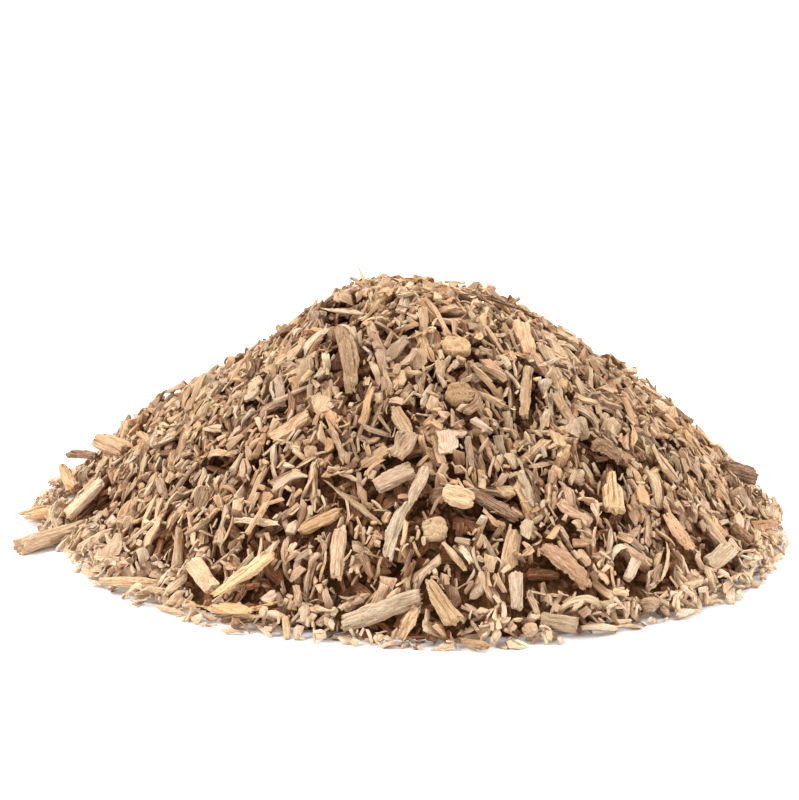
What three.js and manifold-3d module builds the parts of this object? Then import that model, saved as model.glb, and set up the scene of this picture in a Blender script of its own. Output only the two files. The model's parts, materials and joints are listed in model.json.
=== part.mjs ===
// Kava root, dried, chopped and sifted, poured out in one loose heap.
// The heap's body is one solid of small chips fused to the mound that they make together. The larger
// sticks, flakes, shavings, slices and root pieces that lie on it are solids of their own, each in its seat.
// Millimetres, +Z up, the underside on z = 0, +Y away from the viewer.
import * as THREE from "three";
import { mergeVertices } from "three/addons/utils/BufferGeometryUtils.js";
import Module from "manifold-3d";

const wasm = await Module();
wasm.setup();

// Driving dimensions of the heap
const HEAP_LEFT = 113; // from the middle to the foot on the left
const HEAP_RIGHT = 116;
const HEAP_DEPTH = 108; // from the middle to the foot at the front and at the back
const HEAP_HEIGHT = 77;
const PEAK_X = -6;
const STEEPNESS_LEFT = 1.14; // 1 is a straight cone, more is a fuller side
const STEEPNESS_RIGHT = 1.68;
const CROWN = 0.09; // how wide the rounded top is, as a share of the heap
const FOOT_THICKNESS = 1.6;
const FOOT_WOBBLE = 0.012; // how uneven the foot's outline is, as a share of its radius
// Where the foot's radius falls short of a plain oval or passes it, by a share of the radius
const FLAT_FRONT_LEFT = { turn: THREE.MathUtils.degToRad(-135), width: 0.6, share: -0.075 };
const NOTCH_LEFT = { turn: THREE.MathUtils.degToRad(-160), width: 0.2, share: -0.085 };
const BULGE_FRONT_RIGHT = { turn: THREE.MathUtils.degToRad(-52), width: 0.42, share: 0.045 };
const BULGE_BACK_LEFT = { turn: THREE.MathUtils.degToRad(158), width: 0.45, share: 0.06 };
const FOOT_BENDS = [FLAT_FRONT_LEFT, NOTCH_LEFT, BULGE_FRONT_RIGHT, BULGE_BACK_LEFT];
const HOLLOW_UPPER_LEFT = { x: -38, y: 10, reach: 20, depth: 10 };
const HOLLOW_UPPER_RIGHT = { x: 58, y: 10, reach: 22, depth: 2.5 };
const HOLLOWS = [HOLLOW_UPPER_LEFT, HOLLOW_UPPER_RIGHT];
const MOUND_SECTORS = 32;
const MOUND_RINGS = 8;
const MOUND_ROUGHNESS = 1.9;
const ROUGH_WITHIN = 0.95; // share of the foot's radius within which the mound is rough
const SLOPE_STEP = 6; // over which the mound's slope is measured
const FLAT_BEYOND = 0.97; // share of the foot's radius from which a chip lies level

// Driving dimensions of the chips
const FUSED_CHIPS = 98;
const FUSED_LENGTH = [9, 19];
const FUSED_WIDTH = [3.6, 7];
const FUSED_THICKNESS = [3, 4.8];
const FUSED_REACH = [0.045, 0.99]; // nearest the middle and nearest the foot, as shares of the foot's radius
const FUSED_TILT = 0.35; // most that a fused chip stands off the slope
const FUSED_SINK = 0.25; // share of its thickness below the slope
const CLEAR_OF_SEAT = [0.42, 3]; // from a loose chip's middle: share of its length, and millimetres
const BEVELLED_WIDTH = 5.5; // flat chips wider than this have worn edges
const OUTLINE_WEAR = 0.25; // how far the corners of a flat chip's outline are worn out of true
const SECTION_WEAR = 0.25; // the same for a stick's section, as a share of one of its sides
const SIDE_WEAR = 0.3; // how uneven a stick is along its sides, as a share of its section's roughness
const FACE_WEAR = 0.05; // how uneven a flat chip's faces are, as a share of its thickness
const CUP_LEVEL = 0.1; // how far a cupped chip's middle lies below its level, as a share of the cup
const LUMP_WEAR = [0.88, 1.12]; // how far the corners of a knotty lump stand in or out
const SEAT_GAP = 0.32; // between a loose chip and its seat, and between two loose chips
const SHARPEST = 0.35; // the least that a corner's normal leans along its faces when the gap is measured
const SINK = 0.35; // how much of a loose chip's thickness lies below the mound's surface
const LIFT_STEP = 0.4;
const MOST_LIFT = 14;
const MOST_LEAN = 0.8; // away from the viewer, as a share of the length that is seen
const NEAR_FLOOR = 0.8; // share of the foot's radius beyond which a chip isn't sunk into the floor
const FLOOR_WEAR = 0.5; // how much of a chip on the floor is worn flat
const BED_SIZE = [0.5, 0.8]; // bed of a lifted chip, as shares of its length and width
const BED_DEPTH = 4.5; // how deep the bed reaches into the mound
const BED_RISE = 0.5; // how far it reaches into the lifted chip's seat
const LEAST_BEDDED_LIFT = 1;
const NO_VOLUME = 1e-6; // what two chips may share and still count as apart, in cubic millimetres
const FLOOR_BLOCK = [400, 400, 60]; // what lies below the floor and is cut away
const SEEDS = { mound: 11, fused: 5, loose: 100 };

// The photograph's view, from which the places of the loose chips are read, in pixels of its frame
const VIEW_ELEVATION = THREE.MathUtils.degToRad(17.5);
const VIEW_DISTANCE = 800;
const VIEW_SCALE = 0.31; // millimetres in one pixel at the middle of the heap's foot
const FOOT_MIDDLE_PX = [400, 528];
const RAY_REACH = 1.3; // how far before and behind the middle a ray is followed, by the heap's depth
const RAY_STEP = 0.5;
const BESIDE_FOOT = 1.12; // share of the foot's radius up to which a ray past the heap ends on the floor

// Colours of the wood, as linear materials take them from sRGB
const TONES = {
  cream: 0xe6cba4,
  tan: 0xc9a27a,
  pink: 0xcda585,
  yellow: 0xd3b176,
  grey: 0xb39a80,
  brown: 0x8f6a48,
};

// Random numbers that come out the same each time
function dice(seed) {
  let state = seed >>> 0;
  const roll = () => {
    state = (state + 0x6d2b79f5) >>> 0;
    let t = Math.imul(state ^ (state >>> 15), 1 | state);
    t = (t + Math.imul(t ^ (t >>> 7), 61 | t)) ^ t;
    return ((t ^ (t >>> 14)) >>> 0) / 4294967296;
  };
  return {
    between: (low, high) => low + (high - low) * roll(),
  };
}

// Solids

function solidOf(geometry) {
  const bare = geometry.index ? geometry.toNonIndexed() : geometry.clone();
  bare.deleteAttribute("normal");
  bare.deleteAttribute("uv");
  const merged = mergeVertices(bare, 1e-3);
  const mesh = new wasm.Mesh({
    numProp: 3,
    vertProperties: merged.attributes.position.array,
    triVerts: new Uint32Array(merged.index.array),
  });
  return new wasm.Manifold(mesh);
}

function geometryOf(solid) {
  const mesh = solid.getMesh();
  const geometry = new THREE.BufferGeometry();
  geometry.setAttribute("position", new THREE.BufferAttribute(mesh.vertProperties, 3));
  geometry.setIndex(new THREE.BufferAttribute(mesh.triVerts, 1));
  geometry.computeVertexNormals();
  return geometry;
}

// A copy of a solid whose faces all stand proud of it by the gap that a neighbour needs
function grown(solid, gap) {
  const geometry = geometryOf(solid);
  const place = geometry.attributes.position;
  const normal = geometry.attributes.normal;
  const corners = geometry.index.array;
  const reach = new Float32Array(place.count).fill(1);
  const face = new THREE.Triangle();
  const facing = new THREE.Vector3();
  const leaning = new THREE.Vector3();
  for (let i = 0; i < corners.length; i += 3) {
    face.setFromAttributeAndIndices(place, corners[i], corners[i + 1], corners[i + 2]).getNormal(facing);
    for (let k = 0; k < 3; k++) {
      const corner = corners[i + k];
      leaning.fromBufferAttribute(normal, corner);
      reach[corner] = Math.min(reach[corner], Math.max(SHARPEST, leaning.dot(facing)));
    }
  }
  const moved = place.clone();
  for (let i = 0; i < place.count; i++) {
    leaning.fromBufferAttribute(normal, i).multiplyScalar(gap / reach[i]);
    moved.setXYZ(i, place.getX(i) + leaning.x, place.getY(i) + leaning.y, place.getZ(i) + leaning.z);
  }
  geometry.setAttribute("position", moved);
  return solidOf(geometry);
}

function biggestPiece(solid) {
  return solid.decompose().reduce((a, b) => (a.volume() > b.volume() ? a : b));
}

// Moves each shared point of a geometry once, so that a closed body stays closed
function reshape(geometry, move) {
  const bare = geometry.index ? geometry.toNonIndexed() : geometry;
  bare.deleteAttribute("normal");
  bare.deleteAttribute("uv");
  const merged = mergeVertices(bare, 1e-4);
  const place = merged.attributes.position;
  const point = new THREE.Vector3();
  for (let i = 0; i < place.count; i++) {
    point.fromBufferAttribute(place, i);
    move(point);
    place.setXYZ(i, point.x, point.y, point.z);
  }
  return merged;
}

// The mound's form

function footRadius(turn) {
  const side = Math.cos(turn) > 0 ? HEAP_RIGHT - PEAK_X : HEAP_LEFT + PEAK_X;
  const round = 1 / Math.hypot(Math.cos(turn) / side, Math.sin(turn) / HEAP_DEPTH);
  let share = 1 + FOOT_WOBBLE * (Math.sin(5 * turn + 2) + Math.sin(9 * turn + 0.6));
  for (const bend of FOOT_BENDS) {
    share += bend.share * Math.exp((Math.cos(turn - bend.turn) - 1) / bend.width ** 2);
  }
  return round * share;
}

function heightOver(share, turn) {
  const power = THREE.MathUtils.lerp(STEEPNESS_LEFT, STEEPNESS_RIGHT, 0.5 + 0.5 * Math.cos(turn));
  const run = (Math.hypot(share, CROWN) - CROWN) / (Math.hypot(1, CROWN) - CROWN);
  let height = FOOT_THICKNESS + (HEAP_HEIGHT - FOOT_THICKNESS) * (1 - run ** power);
  const radius = share * footRadius(turn);
  for (const { x, y, reach, depth } of HOLLOWS) {
    const away = Math.hypot(PEAK_X + radius * Math.cos(turn) - x, radius * Math.sin(turn) - y) / reach;
    height -= depth * Math.exp(-away * away);
  }
  return height;
}

function shareAt(x, y) {
  const turn = Math.atan2(y, x - PEAK_X);
  return Math.hypot(x - PEAK_X, y) / footRadius(turn);
}

function moundHeight(x, y) {
  const share = shareAt(x, y);
  return share > 1 ? 0 : heightOver(share, Math.atan2(y, x - PEAK_X));
}

function moundNormal(x, y) {
  const step = SLOPE_STEP;
  if (shareAt(x, y) > FLAT_BEYOND) return new THREE.Vector3(0, 0, 1);
  const fall = new THREE.Vector3(
    moundHeight(x - step, y) - moundHeight(x + step, y),
    moundHeight(x, y - step) - moundHeight(x, y + step),
    2 * step,
  );
  return fall.normalize();
}

function moundSolid() {
  const chance = dice(SEEDS.mound);
  const profile = [new THREE.Vector2(0, 0), new THREE.Vector2(1, 0)];
  for (let ring = MOUND_RINGS; ring >= 0; ring--) profile.push(new THREE.Vector2(ring / MOUND_RINGS, 1));
  const lathe = new THREE.LatheGeometry(profile, MOUND_SECTORS);
  const mound = reshape(lathe, (point) => {
    const turn = Math.atan2(point.z, point.x);
    const share = Math.hypot(point.x, point.z);
    const radius = share * footRadius(turn);
    const height = point.y > 0.5 ? heightOver(share, turn) : 0;
    const inside = point.y > 0.5 && share < ROUGH_WITHIN;
    const rough = inside ? chance.between(-MOUND_ROUGHNESS, MOUND_ROUGHNESS) : 0;
    point.set(PEAK_X + radius * Math.cos(turn), radius * Math.sin(turn), height + rough);
  });
  const solid = solidOf(mound);
  if (solid.volume() > 0) return solid;
  mound.index.array.reverse();
  return solidOf(mound);
}

// Chip forms, each lying along x with its underside near z = 0

// An uneven section drawn along x, then tapered, twisted and bent, its ends cut on the slant
function stick(chance, size, look = {}) {
  const { sides = 6, steps = 4, arc = 0, sweep = 0, twist = 0, slant = 0.5 } = look;
  const { taper = [0.85, 1.05, 0.7], rough = 0.16 } = look;
  const section = new THREE.Shape();
  for (let i = 0; i < sides; i++) {
    const turn = ((i + chance.between(-SECTION_WEAR, SECTION_WEAR)) / sides) * 2 * Math.PI;
    const reach = chance.between(1 - rough, 1 + rough);
    const corner = new THREE.Vector2(Math.cos(turn) * reach, Math.sin(turn) * reach);
    if (i === 0) section.moveTo(corner.x, corner.y);
    else section.lineTo(corner.x, corner.y);
  }
  const drawn = new THREE.ExtrudeGeometry(section, { depth: 1, steps, bevelEnabled: false });
  const slants = [chance.between(-slant, slant), chance.between(-slant, slant)];
  const fullness = new THREE.CatmullRomCurve3(taper.map((f, i) => new THREE.Vector3(i, f, 0)));
  return reshape(drawn, (point) => {
    const run = point.z;
    const full = fullness.getPoint(run).y * (1 + chance.between(-rough, rough) * SIDE_WEAR);
    const spin = twist * (run - 0.5);
    const flat = [(point.x * size.width * full) / 2, (point.y * size.thick * full) / 2];
    const across = flat[0] * Math.cos(spin) - flat[1] * Math.sin(spin);
    const up = flat[0] * Math.sin(spin) + flat[1] * Math.cos(spin);
    const end = run < 0.5 ? slants[0] * (1 - 2 * run) : slants[1] * (2 * run - 1);
    const along = (run - 0.5) * size.length + end * across;
    const bend = 1 - (2 * run - 1) ** 2;
    if (Math.abs(arc) < 0.01) {
      point.set(along, across + sweep * bend, up + size.thick / 2);
      return;
    }
    const radius = size.length / arc;
    const turn = along / radius;
    const low = radius * (1 - Math.cos(arc / 2));
    const out = radius + up;
    const height = out * Math.cos(turn) - radius + low + size.thick / 2;
    point.set(out * Math.sin(turn), across + sweep * bend, height);
  });
}

// Outlines of flat chips, as shares of their length and width
const OUTLINES = {
  leaf: [[-0.5, 0], [-0.3, -0.32], [0, -0.5], [0.28, -0.36], [0.5, 0.04], [0.22, 0.4], [-0.1, 0.46],
    [-0.34, 0.3]],
  wedge: [[-0.5, -0.2], [-0.1, -0.42], [0.42, -0.5], [0.5, 0.1], [0.44, 0.5], [0, 0.34], [-0.44, 0.16]],
  board: [[-0.5, -0.42], [-0.1, -0.5], [0.46, -0.4], [0.5, 0.36], [0.2, 0.5], [-0.2, 0.42], [-0.47, 0.5]],
  bottle: [[-0.5, -0.16], [-0.2, -0.2], [0, -0.5], [0.44, -0.46], [0.5, 0], [0.43, 0.5], [0.04, 0.5],
    [-0.2, 0.2], [-0.48, 0.16]],
  blade: [[-0.5, -0.1], [-0.2, -0.4], [0.2, -0.5], [0.5, -0.3], [0.46, 0.2], [0.1, 0.38], [-0.25, 0.3]],
  round: Array.from({ length: 11 }, (_, i) => [
    0.5 * Math.cos((i / 11) * 2 * Math.PI),
    0.5 * Math.sin((i / 11) * 2 * Math.PI),
  ]),
};

// A flat chip of one of the outlines, bowed along its length and cupped across it
function flake(chance, size, look = {}) {
  const { outline = "board", bow = 0.12, cup = 0.1, edge = size.width > BEVELLED_WIDTH ? 0.22 : 0 } = look;
  const shape = new THREE.Shape();
  OUTLINES[outline].forEach(([x, y], i) => {
    const worn = () => chance.between(-OUTLINE_WEAR, OUTLINE_WEAR);
    const corner = [x * size.length + worn(), y * size.width + worn()];
    if (i === 0) shape.moveTo(...corner);
    else shape.lineTo(...corner);
  });
  const bevel = edge * size.thick;
  const cut = new THREE.ExtrudeGeometry(shape, {
    depth: size.thick - bevel,
    steps: 1,
    bevelEnabled: edge > 0,
    bevelThickness: bevel,
    bevelSize: bevel,
    bevelOffset: -bevel,
    bevelSegments: 1,
  });
  return reshape(cut, (point) => {
    const along = point.x / size.length;
    const across = point.y / size.width;
    point.z += bow * size.length * (0.25 - along * along) + cup * size.width * (across * across - CUP_LEVEL);
    point.z += chance.between(-FACE_WEAR, FACE_WEAR) * size.thick;
  });
}

// A knotty lump of root
function nub(chance, size) {
  return reshape(new THREE.IcosahedronGeometry(0.5, 1), (point) => {
    const bulge = chance.between(...LUMP_WEAR);
    point.set(point.x * size.length * bulge, point.y * size.width * bulge, (point.z + 0.5) * size.thick);
  });
}

// Thin strands still joined side by side, their ends at different lengths
function bundle(chance, size, look = {}) {
  const { strands = 3 } = look;
  const pitch = size.width / strands;
  let whole = null;
  for (let i = 0; i < strands; i++) {
    const strand = stick(
      chance,
      {
        length: size.length * chance.between(0.72, 1),
        width: pitch * 1.75,
        thick: size.thick * chance.between(0.75, 1.1),
      },
      { sides: 4, steps: 2, taper: [0.35, 1.1, 0.45], slant: 0.9, ...look },
    );
    strand.translate(
      size.length * chance.between(-0.07, 0.07),
      (i - (strands - 1) / 2) * pitch,
      chance.between(0, 0.15) * size.thick,
    );
    const solid = solidOf(strand);
    whole = whole ? whole.add(solid) : solid;
  }
  return geometryOf(whole);
}

const FORMS = { stick, flake, nub, bundle };

// The loose chips, from the lowest to the topmost. Each has the pixels of the photograph at its two ends, and
// its width and thickness in millimetres. raise is how steeply its second end stands off the slope.
const ROOT = { sides: 9, steps: 4, rough: 0.09, slant: 0.35, taper: [0.92, 1, 1.06] };
const SPLIT = { sides: 5, steps: 3, rough: 0.18, taper: [0.8, 1.05, 0.75], twist: 0.25 };
const BLOCK = { sides: 5, steps: 2, rough: 0.12, taper: [0.95, 1.05, 0.95], slant: 0.25 };
const SLIVER = { sides: 4, steps: 3, taper: [0.35, 1.05, 0.4], twist: 0.4 };
const LOOSE_CHIPS = [
  { name: "round_root_left", form: "stick", look: ROOT, tone: "tan", ends: [[21, 557], [86, 536]],
    size: [6.2, 5.6] },
  { name: "root_stub_right_foot", form: "stick", look: ROOT, tone: "tan", ends: [[540, 622], [578, 627]],
    size: [5, 4.6] },
  { name: "frayed_root_end_left", form: "bundle", look: { strands: 4 }, tone: "tan",
    ends: [[15, 519], [70, 510]], size: [8.8, 3.6] },
  { name: "frayed_strip_right_foot", form: "bundle", tone: "pink", ends: [[788, 524], [744, 526]],
    size: [4, 2.2] },
  { name: "split_stick_left", form: "stick", look: SPLIT, tone: "cream", ends: [[100, 582], [163, 585]],
    size: [5, 3.4] },
  { name: "split_stick_left_small", form: "stick", look: SPLIT, tone: "cream",
    ends: [[78, 548], [118, 531]], size: [5.4, 3.2] },
  { name: "rim_sliver_left", form: "stick", look: SLIVER, tone: "tan", ends: [[150, 606], [190, 615]],
    size: [2.4, 1.8] },
  { name: "bowed_rim_strip", form: "stick",
    look: { ...SLIVER, steps: 6, sweep: -3.4, taper: [0.5, 1, 0.5] }, tone: "yellow",
    ends: [[180, 599], [286, 600]], size: [2.8, 2] },
  { name: "frayed_chip_front", form: "bundle", tone: "tan", ends: [[214, 620], [259, 630]],
    size: [4.6, 2.6] },
  { name: "rim_stick_front", form: "stick", look: SPLIT, tone: "cream", ends: [[285, 617], [288, 640]],
    size: [2.5, 2.1] },
  { name: "ridged_stick_front", form: "stick", look: { ...SPLIT, sides: 7, steps: 4 }, tone: "tan",
    ends: [[340, 626], [426, 596]], size: [6.2, 4.8] },
  { name: "forked_chip_front", form: "bundle", look: { strands: 2 }, tone: "cream",
    ends: [[400, 646], [421, 606]], size: [3.6, 2.3] },
  { name: "ridged_flake_front", form: "flake", look: { outline: "wedge", cup: 0.2 }, tone: "tan",
    ends: [[428, 578], [456, 629]], size: [5.8, 2.6] },
  { name: "leaf_chip_front_foot", form: "flake", look: { outline: "leaf" }, tone: "tan",
    ends: [[455, 640], [492, 649]], size: [4, 2] },
  { name: "root_nub_front_foot", form: "nub", tone: "cream", ends: [[521, 632], [540, 632]],
    size: [5, 4.4] },
  { name: "root_nub_right_foot", form: "nub", tone: "grey", ends: [[638, 606], [660, 608]],
    size: [5.8, 5] },
  { name: "bark_flake_left", form: "flake", look: { outline: "blade" }, tone: "brown",
    ends: [[62, 455], [101, 457]], size: [4.2, 1.7] },
  { name: "cut_block_left", form: "stick", look: BLOCK, tone: "tan", ends: [[97, 440], [131, 455]],
    size: [7.6, 6] },
  { name: "wedge_chip_left", form: "flake", look: { outline: "wedge" }, tone: "cream",
    ends: [[62, 463], [78, 493]], size: [5.2, 2.8] },
  { name: "slanting_flake_left", form: "flake", look: { outline: "board", bow: 0.05 }, tone: "tan",
    ends: [[66, 519], [106, 479]], size: [6, 2.1] },
  { name: "thin_splinter_left", form: "stick", look: SLIVER, tone: "tan", ends: [[116, 553], [173, 508]],
    size: [2, 1.7] },
  { name: "pale_chip_left", form: "flake", look: { outline: "leaf" }, tone: "cream",
    ends: [[147, 493], [161, 471]], size: [3.8, 1.9] },
  { name: "cut_block_front_left", form: "stick", look: BLOCK, tone: "cream", ends: [[193, 563], [218, 591]],
    size: [6.2, 4.4] },
  { name: "long_yellow_stick", form: "stick", look: { ...SPLIT, taper: [0.55, 1.05, 0.95] }, tone: "yellow",
    ends: [[217, 605], [283, 558]], size: [4.8, 3.1] },
  { name: "curled_shaving_left", form: "stick",
    look: { sides: 4, steps: 7, arc: 1.9, taper: [0.7, 1, 0.75], rough: 0.05 }, tone: "cream",
    ends: [[206, 460], [241, 457]], size: [3.6, 1.6] },
  { name: "flat_stick_upper_left", form: "flake", look: { outline: "board" }, tone: "tan",
    ends: [[271, 443], [313, 415]], size: [4.8, 2.4] },
  { name: "cross_chip_level", form: "stick", look: { ...SLIVER, taper: [0.8, 1, 0.7] }, tone: "cream",
    ends: [[231, 520], [283, 525]], size: [2.8, 2] },
  { name: "cross_chip_upright", form: "stick", look: { ...SLIVER, taper: [0.8, 1, 0.7] }, tone: "cream",
    ends: [[251, 540], [274, 503]], size: [2.8, 2] },
  { name: "upright_stick_front", form: "stick", look: SPLIT, tone: "tan", ends: [[340, 527], [337, 581]],
    size: [5.8, 3.8] },
  { name: "yellow_leaf_flake", form: "flake", look: { outline: "leaf", cup: 0.25 }, tone: "yellow",
    ends: [[296, 534], [347, 508]], size: [5.6, 1.6] },
  { name: "long_splinter_front", form: "stick", look: SLIVER, tone: "tan", ends: [[320, 477], [386, 528]],
    size: [2.6, 2] },
  { name: "cut_block_middle", form: "stick", look: { ...BLOCK, steps: 3 }, tone: "pink",
    ends: [[375, 489], [416, 469]], size: [6.2, 4.8] },
  { name: "root_slice_middle", form: "flake", look: { outline: "round", bow: 0.04 }, tone: "cream",
    ends: [[421, 531], [449, 529]], size: [7.4, 2.6] },
  { name: "upright_stick_middle", form: "stick", look: { ...SPLIT, steps: 5, sweep: 1.2 }, tone: "cream",
    ends: [[388, 561], [411, 501]], size: [4.2, 3] },
  { name: "short_stick_middle", form: "stick", look: SPLIT, tone: "cream", ends: [[442, 542], [467, 574]],
    size: [2.7, 2.2] },
  { name: "bark_blade_right", form: "flake", look: { outline: "blade" }, tone: "brown",
    ends: [[465, 490], [521, 521]], size: [4.8, 1.9] },
  { name: "oval_slab_middle", form: "flake", look: { outline: "round", bow: 0.06 }, tone: "cream",
    ends: [[439, 498], [476, 508]], size: [6.8, 2.6] },
  { name: "blade_chip_middle", form: "flake", look: { outline: "blade" }, tone: "cream",
    ends: [[408, 516], [428, 471]], size: [4, 2] },
  { name: "grey_plate_middle", form: "flake", look: { outline: "board" }, tone: "grey",
    ends: [[397, 466], [416, 439]], size: [6.6, 2.2] },
  { name: "pale_blade_upper", form: "flake", look: { outline: "blade" }, tone: "cream",
    ends: [[392, 402], [414, 441]], size: [5.4, 1.9] },
  { name: "grey_slice_upper", form: "flake", look: { outline: "round", bow: 0.05 }, tone: "tan",
    ends: [[445, 396], [476, 395]], size: [8.4, 2.6] },
  { name: "oval_slice_top", form: "flake", look: { outline: "round", bow: 0.05 }, tone: "yellow",
    ends: [[440, 345], [473, 350]], size: [7.6, 2.6] },
  { name: "curved_blade_upper_left", form: "stick",
    look: { sides: 5, steps: 5, arc: 0.5, sweep: 2.4, taper: [0.6, 1.1, 0.6] }, tone: "tan",
    ends: [[335, 321], [351, 400]], size: [6.4, 2.4] },
  { name: "flat_strip_top_left", form: "stick", look: SLIVER, tone: "cream", ends: [[319, 307], [373, 317]],
    size: [2.9, 1.9] },
  { name: "pink_flake_top_right", form: "flake", look: { outline: "board" }, tone: "pink",
    ends: [[521, 320], [530, 361]], size: [6, 2.1] },
  { name: "bark_strip_top_right", form: "stick",
    look: { sides: 4, steps: 5, arc: 0.45, taper: [0.5, 1, 0.5] }, tone: "brown",
    ends: [[459, 295], [541, 319]], size: [2.9, 2] },
  { name: "upright_stick_right", form: "stick", look: SPLIT, tone: "tan", ends: [[530, 364], [523, 421]],
    size: [4.6, 3] },
  { name: "big_curl_right", form: "stick",
    look: { sides: 4, steps: 7, arc: 1.6, taper: [0.85, 1, 0.8], rough: 0.06 }, tone: "brown",
    ends: [[588, 444], [623, 463]], size: [7.4, 2.2] },
  { name: "bottle_shaped_chip", form: "flake", look: { outline: "bottle" }, tone: "cream",
    ends: [[612, 469], [612, 516]], size: [6.6, 2.8] },
  { name: "dark_root_chunk_right", form: "stick", look: { ...ROOT, steps: 3 }, tone: "brown",
    ends: [[719, 470], [753, 478]], size: [7.2, 5.2] },
  { name: "brown_chip_right", form: "flake", look: { outline: "wedge" }, tone: "brown",
    ends: [[730, 524], [751, 546]], size: [6.4, 2.8] },
  { name: "flat_chip_right_foot", form: "flake", look: { outline: "board" }, tone: "tan",
    ends: [[704, 566], [736, 547]], size: [5.4, 2.2] },
  { name: "short_stick_right", form: "stick", look: SPLIT, tone: "tan", ends: [[690, 514], [719, 553]],
    size: [2.8, 2.2] },
  { name: "fibrous_bundle_right", form: "bundle", tone: "tan", ends: [[659, 504], [693, 556]],
    size: [4.4, 3] },
  { name: "bent_fibre_right", form: "stick", look: { ...SLIVER, sweep: 1.8, steps: 4 }, tone: "tan",
    ends: [[668, 537], [655, 586]], size: [1.9, 1.7] },
  { name: "curled_slab_right", form: "stick",
    look: { sides: 5, steps: 5, arc: 0.9, taper: [0.8, 1, 0.8], rough: 0.1 }, tone: "pink",
    ends: [[539, 544], [591, 591]], size: [7.2, 2.4] },
  { name: "peg_right", form: "stick", look: BLOCK, tone: "cream", ends: [[516, 572], [516, 611]],
    size: [4.6, 3.6] },
  { name: "short_peg_right", form: "stick", look: BLOCK, tone: "cream", ends: [[625, 581], [638, 560]],
    size: [3.7, 3] },
  { name: "standing_twig_top", form: "stick", look: SLIVER, tone: "tan", ends: [[373, 300], [357, 264]],
    size: [2, 1.7], raise: 0.5 },
];

// Where the photograph's rays meet the heap

const ahead = new THREE.Vector3(0, Math.cos(VIEW_ELEVATION), -Math.sin(VIEW_ELEVATION));
const upward = new THREE.Vector3(0, Math.sin(VIEW_ELEVATION), Math.cos(VIEW_ELEVATION));
const eye = ahead.clone().multiplyScalar(-VIEW_DISTANCE);

// The point under a pixel: on the mound, on the floor beside it, or where the ray passes it closest
function pointUnder([px, py]) {
  const ray = ahead.clone().multiplyScalar(VIEW_DISTANCE);
  ray.x += (px - FOOT_MIDDLE_PX[0]) * VIEW_SCALE;
  ray.addScaledVector(upward, (FOOT_MIDDLE_PX[1] - py) * VIEW_SCALE).normalize();
  const floor = eye.clone().addScaledVector(ray, -eye.z / ray.z);
  const near = VIEW_DISTANCE - RAY_REACH * HEAP_DEPTH;
  const far = VIEW_DISTANCE + RAY_REACH * HEAP_DEPTH;
  let best = null;
  let least = Infinity;
  for (let run = near; run < far; run += RAY_STEP) {
    const point = eye.clone().addScaledVector(ray, run);
    if (point.z < 0 || shareAt(point.x, point.y) > 1) continue;
    const clear = point.z - moundHeight(point.x, point.y);
    if (clear < least) {
      least = clear;
      best = point;
    }
    if (clear <= 0) break;
  }
  const beside = shareAt(floor.x, floor.y) < BESIDE_FOOT;
  return least > 0 && (beside || !best) ? floor : best;
}

// Laying the loose chips

const below = solidOf(new THREE.BoxGeometry(...FLOOR_BLOCK).translate(0, 0, -FLOOR_BLOCK[2] / 2));

// A chip's length as a vector on the slope that faces outward, from the pixels at its two ends
function alongSlope([[startX, startY], [endX, endY]], middle, slope) {
  const depth = middle.clone().sub(eye).dot(ahead);
  const scale = (VIEW_SCALE * depth) / VIEW_DISTANCE;
  const seen = new THREE.Vector3((endX - startX) * scale, 0, 0);
  seen.addScaledVector(upward, (startY - endY) * scale);
  const most = MOST_LEAN * seen.length();
  const lean = -seen.dot(slope) / ahead.dot(slope);
  return seen.addScaledVector(ahead, THREE.MathUtils.clamp(lean, -most, most));
}

// A plain box around a laid chip, in line with it and clear of it by the gap
function pocketFor({ solid, middle, along, across }) {
  const outward = along.clone().cross(across);
  const frame = new THREE.Matrix4().makeBasis(along, across, outward).setPosition(middle);
  const local = geometryOf(solid).applyMatrix4(frame.clone().invert());
  local.computeBoundingBox();
  const size = local.boundingBox.getSize(new THREE.Vector3()).addScalar(2 * SEAT_GAP);
  const centre = local.boundingBox.getCenter(new THREE.Vector3());
  const box = new THREE.BoxGeometry(size.x, size.y, size.z).translate(centre.x, centre.y, centre.z);
  return solidOf(box.applyMatrix4(frame));
}

function layChip(chip, number, laid) {
  const chance = dice(SEEDS.loose + number);
  const [start, end] = chip.ends;
  const middle = pointUnder([(start[0] + end[0]) / 2, (start[1] + end[1]) / 2]);
  const slope = moundNormal(middle.x, middle.y);
  const along = alongSlope(chip.ends, middle, slope);
  const size = { length: along.length(), width: chip.size[0], thick: chip.size[1] };
  along.normalize();
  if (chip.raise) along.addScaledVector(slope, chip.raise).normalize();
  const across = slope.clone().cross(along).normalize();
  const outward = along.clone().cross(across);
  const form = FORMS[chip.form](chance, size, chip.look);
  form.applyMatrix4(new THREE.Matrix4().makeBasis(along, across, outward).setPosition(middle));
  form.translate(...outward.clone().multiplyScalar(-SINK * size.thick).toArray());
  let solid = solidOf(form);
  if (solid.volume() < 0) throw new Error(`${chip.name} is inside out`);
  const lowest = solid.boundingBox().min[2];
  const sunk = -FLOOR_WEAR - lowest;
  if (shareAt(middle.x, middle.y) > NEAR_FLOOR && sunk > 0) solid = solid.translate([0, 0, sunk]);
  let lift = 0;
  const free = () => laid.every((other) => other.room.intersect(solid).volume() < NO_VOLUME);
  while (!free()) {
    lift += LIFT_STEP;
    if (lift > MOST_LIFT) throw new Error(`${chip.name} finds no place`);
    solid = solid.translate(outward.clone().multiplyScalar(LIFT_STEP).toArray());
  }
  solid = biggestPiece(solid.subtract(below));
  const seat = { chip, solid, room: grown(solid, SEAT_GAP), middle, along, across, size, lift };
  seat.pocket = pocketFor(seat);
  return seat;
}

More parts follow.
